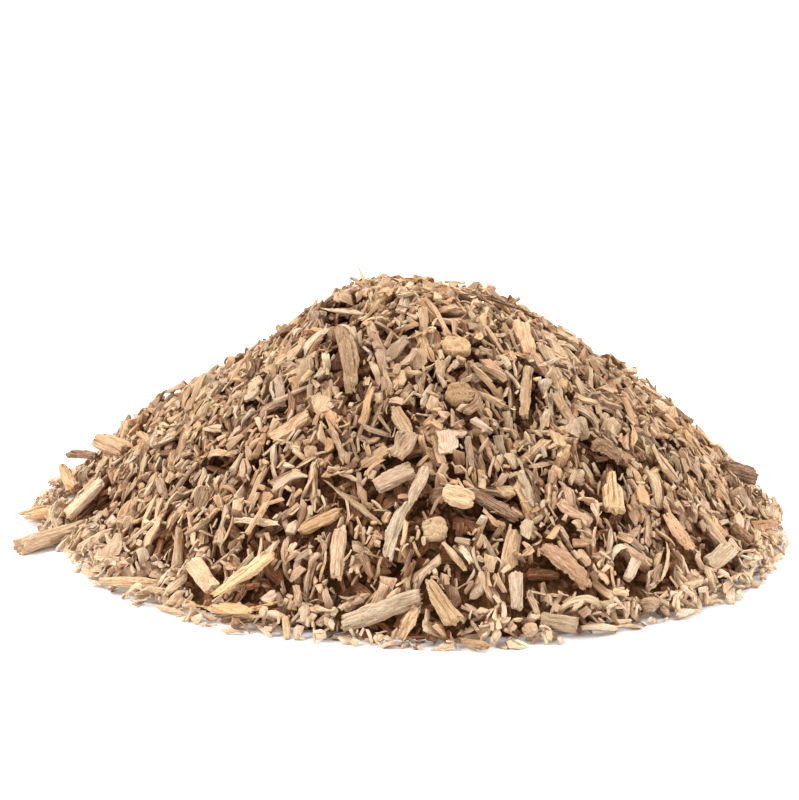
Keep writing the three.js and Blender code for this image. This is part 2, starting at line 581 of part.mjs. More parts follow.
// Something for a lifted chip to lie on: a lump from inside the mound up to the chip's underside
function bedding(seat) {
  const { middle, along, across, size, lift } = seat;
  const height = BED_DEPTH + lift + BED_RISE;
  const lump = new THREE.BoxGeometry(size.length * BED_SIZE[0], size.width * BED_SIZE[1], height);
  const outward = along.clone().cross(across);
  lump.applyMatrix4(new THREE.Matrix4().makeBasis(along, across, outward).setPosition(middle));
  lump.translate(...outward.multiplyScalar(height / 2 - BED_DEPTH).toArray());
  return solidOf(lump);
}

// Small chips fused to the mound all round
function fusedChip(chance, seats) {
  for (;;) {
    const turn = chance.between(0, 2 * Math.PI);
    const share = Math.sqrt(chance.between(FUSED_REACH[0] ** 2, FUSED_REACH[1] ** 2));
    const radius = share * footRadius(turn);
    const place = new THREE.Vector3(PEAK_X + radius * Math.cos(turn), radius * Math.sin(turn), 0);
    place.z = heightOver(share, turn);
    const room = (seat) => CLEAR_OF_SEAT[0] * seat.size.length + CLEAR_OF_SEAT[1];
    if (seats.some((seat) => seat.middle.distanceTo(place) < room(seat))) continue;
    const size = {
      length: chance.between(...FUSED_LENGTH),
      width: chance.between(...FUSED_WIDTH),
      thick: chance.between(...FUSED_THICKNESS),
    };
    const slope = moundNormal(place.x, place.y);
    const heading = chance.between(0, 2 * Math.PI);
    const along = new THREE.Vector3(Math.cos(heading), Math.sin(heading), 0);
    along.addScaledVector(slope, -along.dot(slope) + chance.between(-FUSED_TILT, FUSED_TILT)).normalize();
    const across = slope.clone().cross(along).normalize();
    const outward = along.clone().cross(across);
    const look = { sides: 4, steps: 1, rough: 0.22, slant: 0.8, taper: [0.95, 0.8] };
    const form = stick(chance, size, look);
    form.applyMatrix4(new THREE.Matrix4().makeBasis(along, across, outward).setPosition(place));
    form.translate(...outward.multiplyScalar(-FUSED_SINK * size.thick).toArray());
    return solidOf(form);
  }
}

function heapSolid(seats) {
  const chance = dice(SEEDS.fused);
  const parts = [moundSolid()];
  for (let i = 0; i < FUSED_CHIPS; i++) parts.push(fusedChip(chance, seats));
  for (const seat of seats) if (seat.lift > LEAST_BEDDED_LIFT) parts.push(bedding(seat));
  let heap = wasm.Manifold.union(parts).subtract(below);
  for (const seat of seats) heap = heap.subtract(seat.pocket);
  return biggestPiece(heap);
}

// The whole

function named(name, solid, tone, shift) {
  const material = new THREE.MeshStandardMaterial({ color: TONES[tone], roughness: 0.85, metalness: 0 });
  const mesh = new THREE.Mesh(geometryOf(solid), material);
  mesh.name = name;
  mesh.position.copy(shift);
  return mesh;
}

const seats = [];
LOOSE_CHIPS.forEach((chip, number) => seats.push(layChip(chip, number, seats)));
const heap = heapSolid(seats);

// The origin is the middle of the whole heap's box, on its underside
const extent = new THREE.Box3();
for (const solid of [heap, ...seats.map((seat) => seat.solid)]) {
  const { min, max } = solid.boundingBox();
  extent.union(new THREE.Box3(new THREE.Vector3(...min), new THREE.Vector3(...max)));
}
const shift = extent.getCenter(new THREE.Vector3()).negate().setZ(0);

const kavaRoot = new THREE.Group();
kavaRoot.add(named("chip_heap", heap, "tan", shift));
for (const seat of seats) kavaRoot.add(named(seat.chip.name, seat.solid, seat.chip.tone, shift));

export default kavaRoot;
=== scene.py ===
# Kava root: a loose heap of dried, chopped and sifted root, finished around its CAD frame.
# Everything is worked out in millimetres and turned to metres where a mesh is made.
import json
import math
from typing import NamedTuple

import bmesh
import bpy
import numpy as np
from bpy.props import FloatProperty, FloatVectorProperty, IntProperty, PointerProperty
from mathutils import Matrix, Vector


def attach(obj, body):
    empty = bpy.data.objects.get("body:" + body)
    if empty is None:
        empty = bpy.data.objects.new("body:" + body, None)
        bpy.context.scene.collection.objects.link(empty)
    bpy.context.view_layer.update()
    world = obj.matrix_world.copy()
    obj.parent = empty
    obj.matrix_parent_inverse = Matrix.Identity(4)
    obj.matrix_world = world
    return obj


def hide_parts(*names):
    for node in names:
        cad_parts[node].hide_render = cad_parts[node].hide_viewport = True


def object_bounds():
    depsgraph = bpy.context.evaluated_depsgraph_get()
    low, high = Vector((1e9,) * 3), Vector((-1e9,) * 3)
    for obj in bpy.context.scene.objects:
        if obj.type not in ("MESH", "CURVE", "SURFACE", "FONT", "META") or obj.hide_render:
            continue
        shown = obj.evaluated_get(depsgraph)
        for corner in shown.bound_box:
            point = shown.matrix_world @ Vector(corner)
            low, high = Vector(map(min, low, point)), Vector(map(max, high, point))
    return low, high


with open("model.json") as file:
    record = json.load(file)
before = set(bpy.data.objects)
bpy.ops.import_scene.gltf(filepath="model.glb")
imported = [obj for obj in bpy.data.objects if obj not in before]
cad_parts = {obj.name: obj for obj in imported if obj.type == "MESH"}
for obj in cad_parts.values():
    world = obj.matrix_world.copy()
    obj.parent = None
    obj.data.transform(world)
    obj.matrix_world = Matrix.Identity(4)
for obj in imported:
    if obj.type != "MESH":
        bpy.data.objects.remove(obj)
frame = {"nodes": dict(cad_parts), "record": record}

bl_info = {
    "name": "Kava Root Heap",
    "version": (1, 0, 0),
    "blender": (4, 5, 0),
    "location": "3D View > Sidebar > Kava Root",
    "description": "Builds a heap of dried, chopped kava root around its solids",
    "category": "Object",
}

CAD_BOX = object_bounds()
HEAP_NODE = "chip_heap"
MM = 0.001

# The photograph's view: where the heap's foot is centred in it, and how large
FOOT_MIDDLE_MM = (0.89, 0.25, 0.0)
FOOT_MIDDLE_PX = (400.0, 528.0)
FRAME_PX = (799, 800)
MM_PER_PX = 0.31

LOWEST_MM = 0.02  # no point lies lower than this over the floor
FLOOR_GAP_MM = 0.03  # how far over it a chip comes to rest at least

# The height grid that chips are laid on
CELL_MM = 0.6
GRID_MARGIN_MM = 6.0


# Settings


class HeapSettings(bpy.types.PropertyGroup):
    """Sizes and numbers of the chips"""

    seed: IntProperty(name="Seed", description="Which heap of the many possible ones", default=7)
    large_chips: IntProperty(name="Large chips", description="Sticks and flakes of 12 to 20 mm", default=620)
    medium_chips: IntProperty(name="Medium chips", description="Chips of 5 to 12 mm", default=4400)
    deep_chips: IntProperty(name="Deep chips", description="Plain chips under the others", default=1500)
    small_chips: IntProperty(name="Small chips", description="Chips of 3 to 6 mm", default=5600)
    crumbs: IntProperty(name="Crumbs", description="Bits under 3 mm", default=4400)
    loose_depth: FloatProperty(
        name="Loose depth", description="How deep the separate chips lie", default=0.007, unit="LENGTH"
    )
    chip_resolution: FloatProperty(
        name="Chip resolution", description="Grain of the large named chips' meshes", default=0.00042,
        unit="LENGTH",
    )


class WoodColours(bpy.types.PropertyGroup):
    """Colours of the dried root"""

    cream: FloatVectorProperty(
        name="Cream", description="Fresh split wood", subtype="COLOR", default=(0.61, 0.449, 0.288)
    )
    tan: FloatVectorProperty(
        name="Tan", description="Usual split wood", subtype="COLOR", default=(0.565, 0.390, 0.234)
    )
    pink: FloatVectorProperty(
        name="Pink", description="Pinkish outer wood", subtype="COLOR", default=(0.555, 0.362, 0.235)
    )
    yellow: FloatVectorProperty(
        name="Yellow", description="Straw yellow inner wood", subtype="COLOR", default=(0.65, 0.43, 0.215)
    )
    grey: FloatVectorProperty(
        name="Grey", description="Grey brown root skin", subtype="COLOR", default=(0.40, 0.27, 0.17)
    )
    brown: FloatVectorProperty(
        name="Brown", description="Brown bark", subtype="COLOR", default=(0.28, 0.12, 0.044)
    )
    # Dark also colours the crumb bed under the chips as painted shade
    dark: FloatVectorProperty(
        name="Dark", description="Dark bark and cracks", subtype="COLOR", default=(0.10, 0.04, 0.014)
    )


class StageSettings(bpy.types.PropertyGroup):
    """Camera, floor and light"""

    elevation: FloatProperty(
        name="Elevation", description="Height of the eye above the heap's foot", subtype="ANGLE",
        default=math.radians(17.5),
    )
    distance: FloatProperty(
        name="Distance", description="From the eye to the middle of the foot", default=0.8, unit="LENGTH"
    )
    floor_size: FloatProperty(name="Floor", description="Side of the floor", default=8.0, unit="LENGTH")
    left_power: FloatProperty(
        name="Left light", description="Power of the light at the left", default=15.0, unit="POWER"
    )
    right_power: FloatProperty(
        name="Right light", description="Power of the light at the right", default=10.0, unit="POWER"
    )
    top_power: FloatProperty(
        name="Top light", description="Power of the light overhead", default=8.0, unit="POWER"
    )
    back_power: FloatProperty(
        name="Back light", description="Power of the light over the floor behind", default=34.0, unit="POWER"
    )
    sky_strength: FloatProperty(name="Sky", description="Strength of the even light all round", default=0.89)


# Random smooth values


def lattice_noise(points, seed):
    """Smooth values from -1 to 1 at an array of points, one lump to each unit of length"""
    base = np.floor(points).astype(np.int64)
    part = points - base
    ease = part * part * (3.0 - 2.0 * part)
    total = np.zeros(points.shape[:-1])
    for corner in np.ndindex(2, 2, 2):
        cell = base + np.array(corner)
        mixed = cell[..., 0] * 73856093 ^ cell[..., 1] * 19349663 ^ cell[..., 2] * 83492791
        mixed = (mixed + seed * 2654435761) & 0xFFFFFFFF
        mixed = ((mixed ^ (mixed >> 15)) * 2246822519) & 0xFFFFFFFF
        mixed = ((mixed ^ (mixed >> 13)) * 3266489917) & 0xFFFFFFFF
        value = ((mixed ^ (mixed >> 16)) & 0xFFFF) / 32767.5 - 1.0
        weight = np.ones(points.shape[:-1])
        for axis in range(3):
            weight = weight * (ease[..., axis] if corner[axis] else 1.0 - ease[..., axis])
        total += value * weight
    return total


def weathered(points, normals, grain, seed, depth):
    """Points moved in along their normals to leave ridges and cracks along the grain, and dents"""
    ridges = lattice_noise(grain * np.array([0.10, 1.25, 1.25]), seed)
    strands = lattice_noise(grain * np.array([0.22, 2.8, 2.8]), seed + 1)
    dents = lattice_noise(grain * np.array([0.30, 0.48, 0.48]), seed + 2)
    cracks = np.exp(-(lattice_noise(grain * np.array([0.07, 0.62, 0.62]), seed + 3) / 0.12) ** 2)
    inward = 0.38 * ridges + 0.18 * strands + 0.42 * dents - 0.55 * cracks - 0.16
    return points + normals * (np.clip(inward, -1.2, 0.12) * depth)[:, None]


# Rough shapes of chips in millimetres, with the grain along x


def break_off(bm, normal, place):
    """Takes off what lies beyond a plane and closes the body again"""
    everything = bm.verts[:] + bm.edges[:] + bm.faces[:]
    cut = bmesh.ops.bisect_plane(bm, geom=everything, plane_co=place, plane_no=normal, clear_outer=True)
    bmesh.ops.holes_fill(bm, edges=[g for g in cut["geom_cut"] if isinstance(g, bmesh.types.BMEdge)])


def crease(bm, normal, place):
    """Adds the edges where a plane crosses the body, so that it can bend there"""
    everything = bm.verts[:] + bm.edges[:] + bm.faces[:]
    bmesh.ops.bisect_plane(bm, geom=everything, plane_co=place, plane_no=normal)


def block(bm, size):
    bmesh.ops.create_cube(bm, size=1.0)
    bmesh.ops.scale(bm, verts=bm.verts[:], vec=size)


def corner_reach(normal, size):
    """How far a block reaches in a direction"""
    return sum(abs(normal[axis]) * size[axis] / 2 for axis in range(3))


def merge_into(bm, part, place, lean):
    """Adds a part to a form, turned in the plane of the chip and tipped, then moved"""
    turned = Matrix.Rotation(lean[0], 3, "Z") @ Matrix.Rotation(lean[1], 3, "Y")
    bmesh.ops.rotate(part, verts=part.verts[:], cent=(0, 0, 0), matrix=turned)
    bmesh.ops.translate(part, verts=part.verts[:], vec=place)
    layer = bpy.data.meshes.new("part")
    part.to_mesh(layer)
    part.free()
    bm.from_mesh(layer)
    bpy.data.meshes.remove(layer)


LEVEL = (0.0, 0.0)
MIDDLE = (0.0, 0.0, 0.0)


def add_body(bm, rng, size, place=MIDDLE, lean=LEVEL, sides=(4, 7), tilt=0.14, reach=(0.6, 0.95), slant=1.0,
             ends=(1, 3), creases=2, fold=False):
    """An angular body split along the grain, its ends broken on the slant"""
    part = bmesh.new()
    block(part, size)
    for _ in range(int(rng.integers(*sides))):
        turn = rng.uniform(0, 2 * math.pi)
        normal = Vector((rng.normal(0, tilt), math.cos(turn), math.sin(turn))).normalized()
        break_off(part, normal, normal * corner_reach(normal, size) * rng.uniform(*reach))
    for end in (-1, 1):
        for _ in range(int(rng.integers(*ends))):
            normal = Vector((end, rng.normal(0, slant), rng.normal(0, slant * 0.6))).normalized()
            break_off(part, normal, Vector((end * size[0] / 2, 0, 0)) * rng.uniform(0.74, 1.0))
    if fold:
        crease(part, Vector((rng.normal(0, 0.08), 1, 0)), Vector((0, rng.uniform(-0.14, 0.14) * size[1], 0)))
    for number in range(creases):
        share = (number + 1) / (creases + 1) - 0.5
        crease(part, Vector((1, rng.normal(0, 0.3), rng.normal(0, 0.2))), Vector((share * size[0], 0, 0)))
    merge_into(bm, part, place, lean)


def add_splinter(bm, rng, size, chance):
    """Now and then a thin splinter that comes away from a chip's side"""
    if rng.random() > chance:
        return
    length, width, thick = size
    side = rng.choice((-1, 1))
    each = (length * rng.uniform(0.5, 0.95), width * rng.uniform(0.2, 0.34), thick * rng.uniform(0.4, 0.8))
    place = (
        rng.uniform(-0.3, 0.3) * length,
        side * width * rng.uniform(0.25, 0.4),
        rng.uniform(-0.2, 0.3) * thick,
    )
    lean = (side * rng.uniform(-0.05, 0.22), rng.normal(0, 0.12))
    add_body(bm, rng, each, place, lean, sides=(1, 3), tilt=0.08, slant=1.8, ends=(1, 2), creases=1)


def add_scrap(bm, rng, size, place=MIDDLE, lean=LEVEL):
    """A thin scrap with a torn outline of straight edges"""
    part = bmesh.new()
    block(part, size)
    for _ in range(int(rng.integers(5, 8))):
        turn = rng.uniform(0, 2 * math.pi)
        normal = Vector((math.cos(turn), math.sin(turn), rng.normal(0, 0.3))).normalized()
        break_off(part, normal, normal * corner_reach(normal, size) * rng.uniform(0.5, 0.85))
    crease(part, Vector((rng.normal(0, 0.2), 1, 0)), Vector(MIDDLE))
    crease(part, Vector((1, rng.normal(0, 0.4), 0)), Vector((rng.uniform(-0.1, 0.1) * size[0], 0, 0)))
    merge_into(bm, part, place, lean)


def split_shard(bm, rng, size):
    """An angular piece"""
    add_body(bm, rng, size, creases=1)
    add_splinter(bm, rng, size, 0.5)


def narrow_strip(bm, rng, size):
    """A narrow strip torn off along the grain"""
    add_body(bm, rng, size, sides=(2, 4), tilt=0.06, reach=(0.7, 1.0), slant=1.8, creases=5)
    add_splinter(bm, rng, size, 0.5)


def split_blade(bm, rng, size):
    """A long thin flake with a fold along it"""
    add_body(bm, rng, size, sides=(3, 6), tilt=0.13, reach=(0.66, 1.0), slant=1.6, creases=3, fold=True)
    add_splinter(bm, rng, size, 0.4)


def torn_flake(bm, rng, size):
    """A thin flake with a torn outline"""
    length, width, thick = size
    add_scrap(bm, rng, size, lean=(rng.normal(0, 0.2), 0.0))
    smaller = (length * rng.uniform(0.5, 0.9), width * rng.uniform(0.5, 0.8), thick * 0.9)
    add_scrap(bm, rng, smaller, (rng.uniform(-0.2, 0.2) * length, rng.uniform(-0.2, 0.2) * width, 0.0),
              (rng.normal(0, 0.6), rng.normal(0, 0.06)))


def layered_flake(bm, rng, size):
    """Two flakes that haven't come apart"""
    length, width, thick = size
    add_scrap(bm, rng, (length, width, thick * 0.55))
    upper = (length * rng.uniform(0.6, 0.85), width * rng.uniform(0.5, 0.8), thick * 0.55)
    lean = (rng.normal(0, 0.15), rng.normal(0, 0.1))
    add_body(bm, rng, upper, (length * 0.1, width * 0.08, thick * 0.4), lean, sides=(4, 6), creases=1)


def frayed_bundle(bm, rng, size):
    """A bundle of thin strips that part at the ends"""
    length, width, thick = size
    for _ in range(int(rng.integers(3, 5))):
        share = rng.uniform(0.5, 1.0)
        place = (
            rng.uniform(-0.5, 0.5) * (1 - share) * length,
            rng.uniform(-0.28, 0.28) * width,
            rng.uniform(-0.24, 0.24) * thick,
        )
        each = (length * share, width * rng.uniform(0.25, 0.6), thick * rng.uniform(0.35, 0.7))
        lean = rng.normal(0, 0.11, 2)
        add_body(bm, rng, each, place, lean, sides=(1, 3), tilt=0.06, slant=1.8, ends=(1, 2), creases=2)


def broken_chunk(bm, rng, size):
    """A chunk with flat broken faces"""
    block(bm, size)
    for _ in range(int(rng.integers(5, 9))):
        normal = Vector(rng.normal(size=3)).normalized()
        break_off(bm, normal, normal * corner_reach(normal, size) * rng.uniform(0.55, 0.85))


def knotty_lump(bm, rng, size):
    """A knotty bit of root: a few lumps grown together"""
    for _ in range(3):
        made = bmesh.ops.create_icosphere(bm, subdivisions=1, radius=0.5)
        share = rng.uniform(0.55, 0.85)
        for v in made["verts"]:
            v.co *= rng.uniform(0.85, 1.1)
        bmesh.ops.scale(bm, verts=made["verts"], vec=[s * share for s in size])
        bmesh.ops.translate(bm, verts=made["verts"], vec=[s * rng.uniform(-0.24, 0.24) for s in size])


CURL_STEPS = 8


def curled_shaving(bm, rng, size):
    """A shaving rolled up along its length"""
    length = size[0]
    turn = rng.uniform(1.1, 2.6)
    radius = length / turn
    block(bm, size)
    for number in range(1, CURL_STEPS):
        crease(bm, Vector((1, 0, 0)), Vector(((number / CURL_STEPS - 0.5) * length, 0, 0)))
    phases = rng.uniform(0, 6.28, 2)
    for v in bm.verts:
        angle = v.co.x / radius
        ragged = 0.25 * math.cos(angle / turn * 2.6) + 0.12 * math.sin(angle * 5 + phases[int(v.co.y > 0)])
        reach = radius + v.co.z
        v.co = Vector((reach * math.sin(angle), v.co.y * (0.75 + ragged), reach * math.cos(angle) - radius))


def fibre(bm, rng, size):
    """A single thin strand"""
    add_body(bm, rng, size, sides=(1, 2), tilt=0.04, slant=1.2, ends=(1, 2), creases=2)


def small_bit(bm, rng, size):
    """A plain splinter with few faces"""
    add_body(bm, rng, size, sides=(2, 4), tilt=0.1, reach=(0.6, 0.9), slant=1.6, ends=(1, 2), creases=0)


SHAPES = {
    "shard": split_shard, "strip": narrow_strip, "blade": split_blade, "torn": torn_flake,
    "layered": layered_flake, "bundle": frayed_bundle, "chunk": broken_chunk, "lump": knotty_lump,
    "curl": curled_shaving, "fibre": fibre, "bit": small_bit,
}

# Each size of chip: kind, share, forms of it, usual length, width and thickness in millimetres
LARGE_KINDS = (
    ("shard", 0.16, 5, (12.0, 4.4, 2.4)),
    ("strip", 0.22, 6, (18.0, 2.6, 1.3)),
    ("bundle", 0.20, 5, (15.0, 3.8, 2.3)),
    ("blade", 0.14, 4, (14.0, 4.0, 1.3)),
    ("torn", 0.14, 5, (10.0, 6.2, 1.5)),
    ("layered", 0.08, 3, (12.0, 5.2, 2.3)),
    ("curl", 0.06, 2, (15.0, 2.9, 1.1)),
)
MEDIUM_KINDS = (
    ("strip", 0.25, 14, (12.8, 2.1, 1.0)),
    ("shard", 0.12, 8, (9.2, 2.8, 1.6)),
    ("bundle", 0.20, 10, (11.6, 2.8, 1.7)),
    ("blade", 0.11, 6, (10.8, 3.0, 0.9)),
    ("torn", 0.17, 8, (8.2, 4.6, 1.0)),
    ("layered", 0.05, 4, (8.4, 3.8, 1.4)),
    ("chunk", 0.02, 2, (4.6, 3.2, 2.2)),
    ("lump", 0.01, 1, (4.4, 3.4, 2.8)),
    ("curl", 0.04, 4, (10.5, 2.1, 0.8)),
    ("fibre", 0.04, 4, (13.5, 1.0, 0.7)),
)
DEEP_KINDS = (
    ("shard", 0.4, 4, (9.6, 3.8, 2.2)),
    ("torn", 0.2, 2, (8.0, 5.0, 1.3)),
    ("blade", 0.4, 4, (11.0, 3.4, 1.2)),
)
SMALL_KINDS = (
    ("bit", 0.33, 10, (4.7, 1.7, 0.7)),
    ("strip", 0.20, 5, (6.8, 1.4, 0.7)),
    ("torn", 0.20, 4, (4.6, 2.6, 0.7)),
    ("chunk", 0.07, 3, (2.9, 2.1, 1.4)),
    ("fibre", 0.20, 3, (7.6, 0.7, 0.5)),
)
CRUMB_KINDS = (
    ("bit", 0.5, 4, (2.6, 1.2, 0.5)),
    ("chunk", 0.2, 2, (1.7, 1.1, 0.8)),
    ("fibre", 0.3, 2, (4.0, 0.5, 0.4)),
)
CARVED_CLASS = "large"  # chips of this size are carved like the named ones
CARVED_GRAIN = 0.28
CARVED_FACES = 300
SAMPLE_PITCH = 0.55  # how far apart the points are that a chip comes to rest by
SAMPLES = {"large": 800, "medium": 320, "deep": 320, "small": 130, "crumb": 50}  # of them at most
THIN_KINDS = ("torn", "blade", "strip", "curl", "fibre")
# How far each kind is bent out of true, as a share of its width
CRUMPLE = {
    "torn": 0.24, "blade": 0.3, "strip": 0.36, "layered": 0.18, "shard": 0.15, "bundle": 0.24, "fibre": 0.6,
}
# How far corners are knocked out of true, as shares of length, width and thickness
KNOCKS = (0.03, 0.07, 0.14)
CLASS_KINDS = {
    "large": LARGE_KINDS, "medium": MEDIUM_KINDS, "deep": DEEP_KINDS, "small": SMALL_KINDS,
    "crumb": CRUMB_KINDS,
}


def with_modifiers(meshes, kind, settings):
    """The meshes with one modifier each applied, all in one evaluation; the old meshes go"""
    holders = []
    for mesh, values in zip(meshes, settings):
        holder = bpy.data.objects.new(mesh.name, mesh)
        bpy.context.scene.collection.objects.link(holder)
        modifier = holder.modifiers.new(kind.title(), kind)
        for key, value in values.items():
            setattr(modifier, key, value)
        holders.append(holder)
    graph = bpy.context.evaluated_depsgraph_get()
    made = [bpy.data.meshes.new_from_object(holder.evaluated_get(graph)) for holder in holders]
    for holder, mesh in zip(holders, meshes):
        bpy.data.objects.remove(holder)
        bpy.data.meshes.remove(mesh)
    return made


def point_array(mesh):
    points = np.empty(len(mesh.vertices) * 3)
    mesh.vertices.foreach_get("co", points)
    return points.reshape(-1, 3)


def normal_array(mesh):
    normals = np.empty(len(mesh.vertices) * 3)
    mesh.vertex_normals.foreach_get("vector", normals)
    return normals.reshape(-1, 3)


def grain_lines(kind, points):
    """Coordinates along and across the grain of a form's points"""
    if kind != "curl":
        return points.copy()
    low, high = points[:, 2].min(), points[:, 2].max()
    half = max(abs(points[:, 0]).max(), 0.1)
    radius = (half * half + (high - low) ** 2) / max(2 * (high - low), 0.1)
    outward = points[:, 2] + radius - high
    angle = np.arctan2(points[:, 0], outward)
    return np.stack([angle * radius, points[:, 1], np.hypot(points[:, 0], outward) - radius], 1)


def crumpled(points, size, strength, seed):
    """Points of a form bent gently up and down and from side to side along it"""
    run = points[:, 0] / size[0]
    across = points[:, 1] / size[1]
    nowhere = np.zeros(len(points))
    up = lattice_noise(np.stack([run * 2.6 + 7.5, across * 0.9 + 2.5, nowhere], 1), seed + 11)
    aside = lattice_noise(np.stack([run * 2.2 + 3.5, nowhere, nowhere + 0.5], 1), seed + 12)
    return points + np.stack([nowhere, 0.8 * aside, up], 1) * size[1] * strength


def knocked(points, size, seed):
    """Points of a form each moved a little at random"""
    return points + np.random.default_rng(seed).uniform(-1, 1, points.shape) * size * np.array(KNOCKS)


def unrolled(points, corners, sizes):
    """Where each face corner lands when a form's surface is unrolled round its long axis"""
    across = np.hypot(points[:, 1], points[:, 2])
    angle = np.arctan2(points[:, 2], points[:, 1])
    half = np.abs(points[:, 0]).max()
    widest = across.max()
    end = np.clip(np.abs(points[:, 0]) / half * 6 - 5, 0, 1)
    along = points[:, 0] + end * np.sign(points[:, 0]) * (widest - across) * 0.8
    flat = np.empty((len(corners), 2))
    starts = np.concatenate([[0], np.cumsum(sizes)[:-1]])
    for start, size in zip(starts, sizes):
        ring = corners[start:start + size]
        weights = across[ring]
        main = ring[int(np.argmax(weights))]
        turns = angle[ring] + 2 * math.pi * np.round((angle[main] - angle[ring]) / (2 * math.pi))
        turns = np.where(weights < 0.15 * widest, angle[main], turns)
        flat[start:start + size, 0] = along[ring]
        flat[start:start + size, 1] = turns
    flat -= flat.min(0)
    return flat / flat.max(0)


def rough_form(job):
    """The mesh of a form as its shape's function leaves it"""
    bm = bmesh.new()
    SHAPES[job["kind"]](bm, np.random.default_rng(job["seed"]), tuple(job["size"]))
    bmesh.ops.recalc_face_normals(bm, faces=bm.faces[:])
    mesh = bpy.data.meshes.new(job["kind"])
    bm.to_mesh(mesh)
    bm.free()
    return mesh


def carve_form(job, mesh):
    """Ridges, cracks and ragged ends on a form's fine mesh"""
    points = point_array(mesh)
    grain = grain_lines(job["kind"], points)
    depth = 0.55 if job["kind"] in THIN_KINDS else 0.9
    points = weathered(points, normal_array(mesh), grain + job["seed"], job["seed"], depth)
    half = np.abs(grain[:, 0]).max()
    near_end = np.clip(np.abs(grain[:, 0]) / half * 3 - 2, 0, 1)
    ragged = 0.5 + 0.5 * lattice_noise(grain * np.array([0.05, 1.6, 1.6]), job["seed"] + 9)
    points[:, 0] -= np.sign(points[:, 0]) * near_end * ragged * 0.17 * half
    mesh.vertices.foreach_set("co", points.astype(np.float32).ravel())
    mesh.update()


def chip_forms(seed):
    """For each size of chip, its kinds with their finished forms"""
    jobs = []
    for size_name, kinds in CLASS_KINDS.items():
        for kind, _, count, size in kinds:
            for _ in range(count):
                job_seed = seed + len(jobs) * 17
                jobs.append({"class": size_name, "kind": kind, "size": np.array(size), "seed": job_seed})
    meshes = [rough_form(job) for job in jobs]
    carved = [k for k, job in enumerate(jobs) if job["class"] == CARVED_CLASS]
    voxels = [{"mode": "VOXEL", "voxel_size": CARVED_GRAIN}] * len(carved)
    fine = with_modifiers([meshes[k] for k in carved], "REMESH", voxels)
    for k, mesh in zip(carved, fine):
        carve_form(jobs[k], mesh)
    ratios = [{"ratio": min(1.0, CARVED_FACES / (2.0 * len(mesh.polygons)))} for mesh in fine]
    for k, mesh in zip(carved, with_modifiers(fine, "DECIMATE", ratios)):
        meshes[k] = mesh

    forms = {name: {} for name in CLASS_KINDS}
    for job, mesh in zip(jobs, meshes):
        points = point_array(mesh)
        corners = np.empty(len(mesh.loops), np.int32)
        mesh.loops.foreach_get("vertex_index", corners)
        sizes = np.empty(len(mesh.polygons), np.int32)
        mesh.polygons.foreach_get("loop_total", sizes)
        grain = grain_lines(job["kind"], points)
        half = np.abs(grain[:, 0]).max()
        job["unrolled"] = unrolled(points, corners, sizes)
        if job["class"] != CARVED_CLASS and job["kind"] != "curl":
            points = knocked(points, job["size"], job["seed"])
        points = crumpled(points, job["size"], CRUMPLE.get(job["kind"], 0.0), job["seed"])
        samples = triangle_samples(points, triangle_array(mesh), SAMPLE_PITCH)
        some = np.random.default_rng(job["seed"]).permutation(len(samples))[:SAMPLES[job["class"]]]
        job["points"] = points
        job["samples"] = samples[some]
        job["grain"] = grain
        job["corners"] = corners
        job["sizes"] = sizes
        job["cut"] = np.clip(np.abs(grain[:, 0]) / half * 7 - 5.6, 0, 1)
        forms[job["class"]].setdefault(job["kind"], []).append(job)
        bpy.data.meshes.remove(mesh)
    return forms


# The height grid


class HeightGrid:
    """Heights of the heap as it is laid, in millimetres, over a grid of small square cells"""

    def __init__(self):
        low, high = CAD_BOX
        self.origin = np.array([low.x, low.y]) / MM - GRID_MARGIN_MM
        span = np.array([high.x - low.x, high.y - low.y]) / MM + 2 * GRID_MARGIN_MM
        self.shape = tuple(np.ceil(span / CELL_MM).astype(int))
        self.height = np.zeros(self.shape)

    def cells(self, x, y):
        i = np.clip(((x - self.origin[0]) / CELL_MM).astype(int), 0, self.shape[0] - 1)
        j = np.clip(((y - self.origin[1]) / CELL_MM).astype(int), 0, self.shape[1] - 1)
        return i, j

    def place(self, i, j):
        return self.origin[0] + (i + 0.5) * CELL_MM, self.origin[1] + (j + 0.5) * CELL_MM

    def places(self):
        i, j = np.indices(self.shape)
        return np.stack(self.place(i, j), -1)


def triangle_array(mesh):
    mesh.calc_loop_triangles()
    corners = np.empty(len(mesh.loop_triangles) * 3, np.int32)
    mesh.loop_triangles.foreach_get("vertices", corners)
    return corners.reshape(-1, 3)


def triangle_samples(points, triangles, pitch):
    """Points all over a surface, no further apart than the pitch"""
    a, b, c = (points[triangles[:, k]] for k in range(3))
    longest = np.maximum(np.linalg.norm(b - a, axis=1), np.linalg.norm(c - a, axis=1))
    longest = np.maximum(longest, np.linalg.norm(c - b, axis=1))
    found = [points]
    for steps in (2, 4, 8, 16, 32, 64, 128):
        chosen = (longest > pitch * steps / 2) & (longest <= pitch * steps)
        if steps == 128:
            chosen = longest > pitch * 64
        if not chosen.any():
            continue
        u, v = np.meshgrid(np.arange(steps + 1) / steps, np.arange(steps + 1) / steps)
        inside = u + v <= 1.0
        u, v = u[inside], v[inside]
        side_b = (b - a)[chosen][:, None, :] * u[None, :, None]
        side_c = (c - a)[chosen][:, None, :] * v[None, :, None]
        found.append((a[chosen][:, None, :] + side_b + side_c).reshape(-1, 3))
    return np.concatenate(found)


def surface_samples(obj, pitch):
    """Points all over a mesh object, in millimetres"""
    return triangle_samples(point_array(obj.data) / MM, triangle_array(obj.data), pitch)


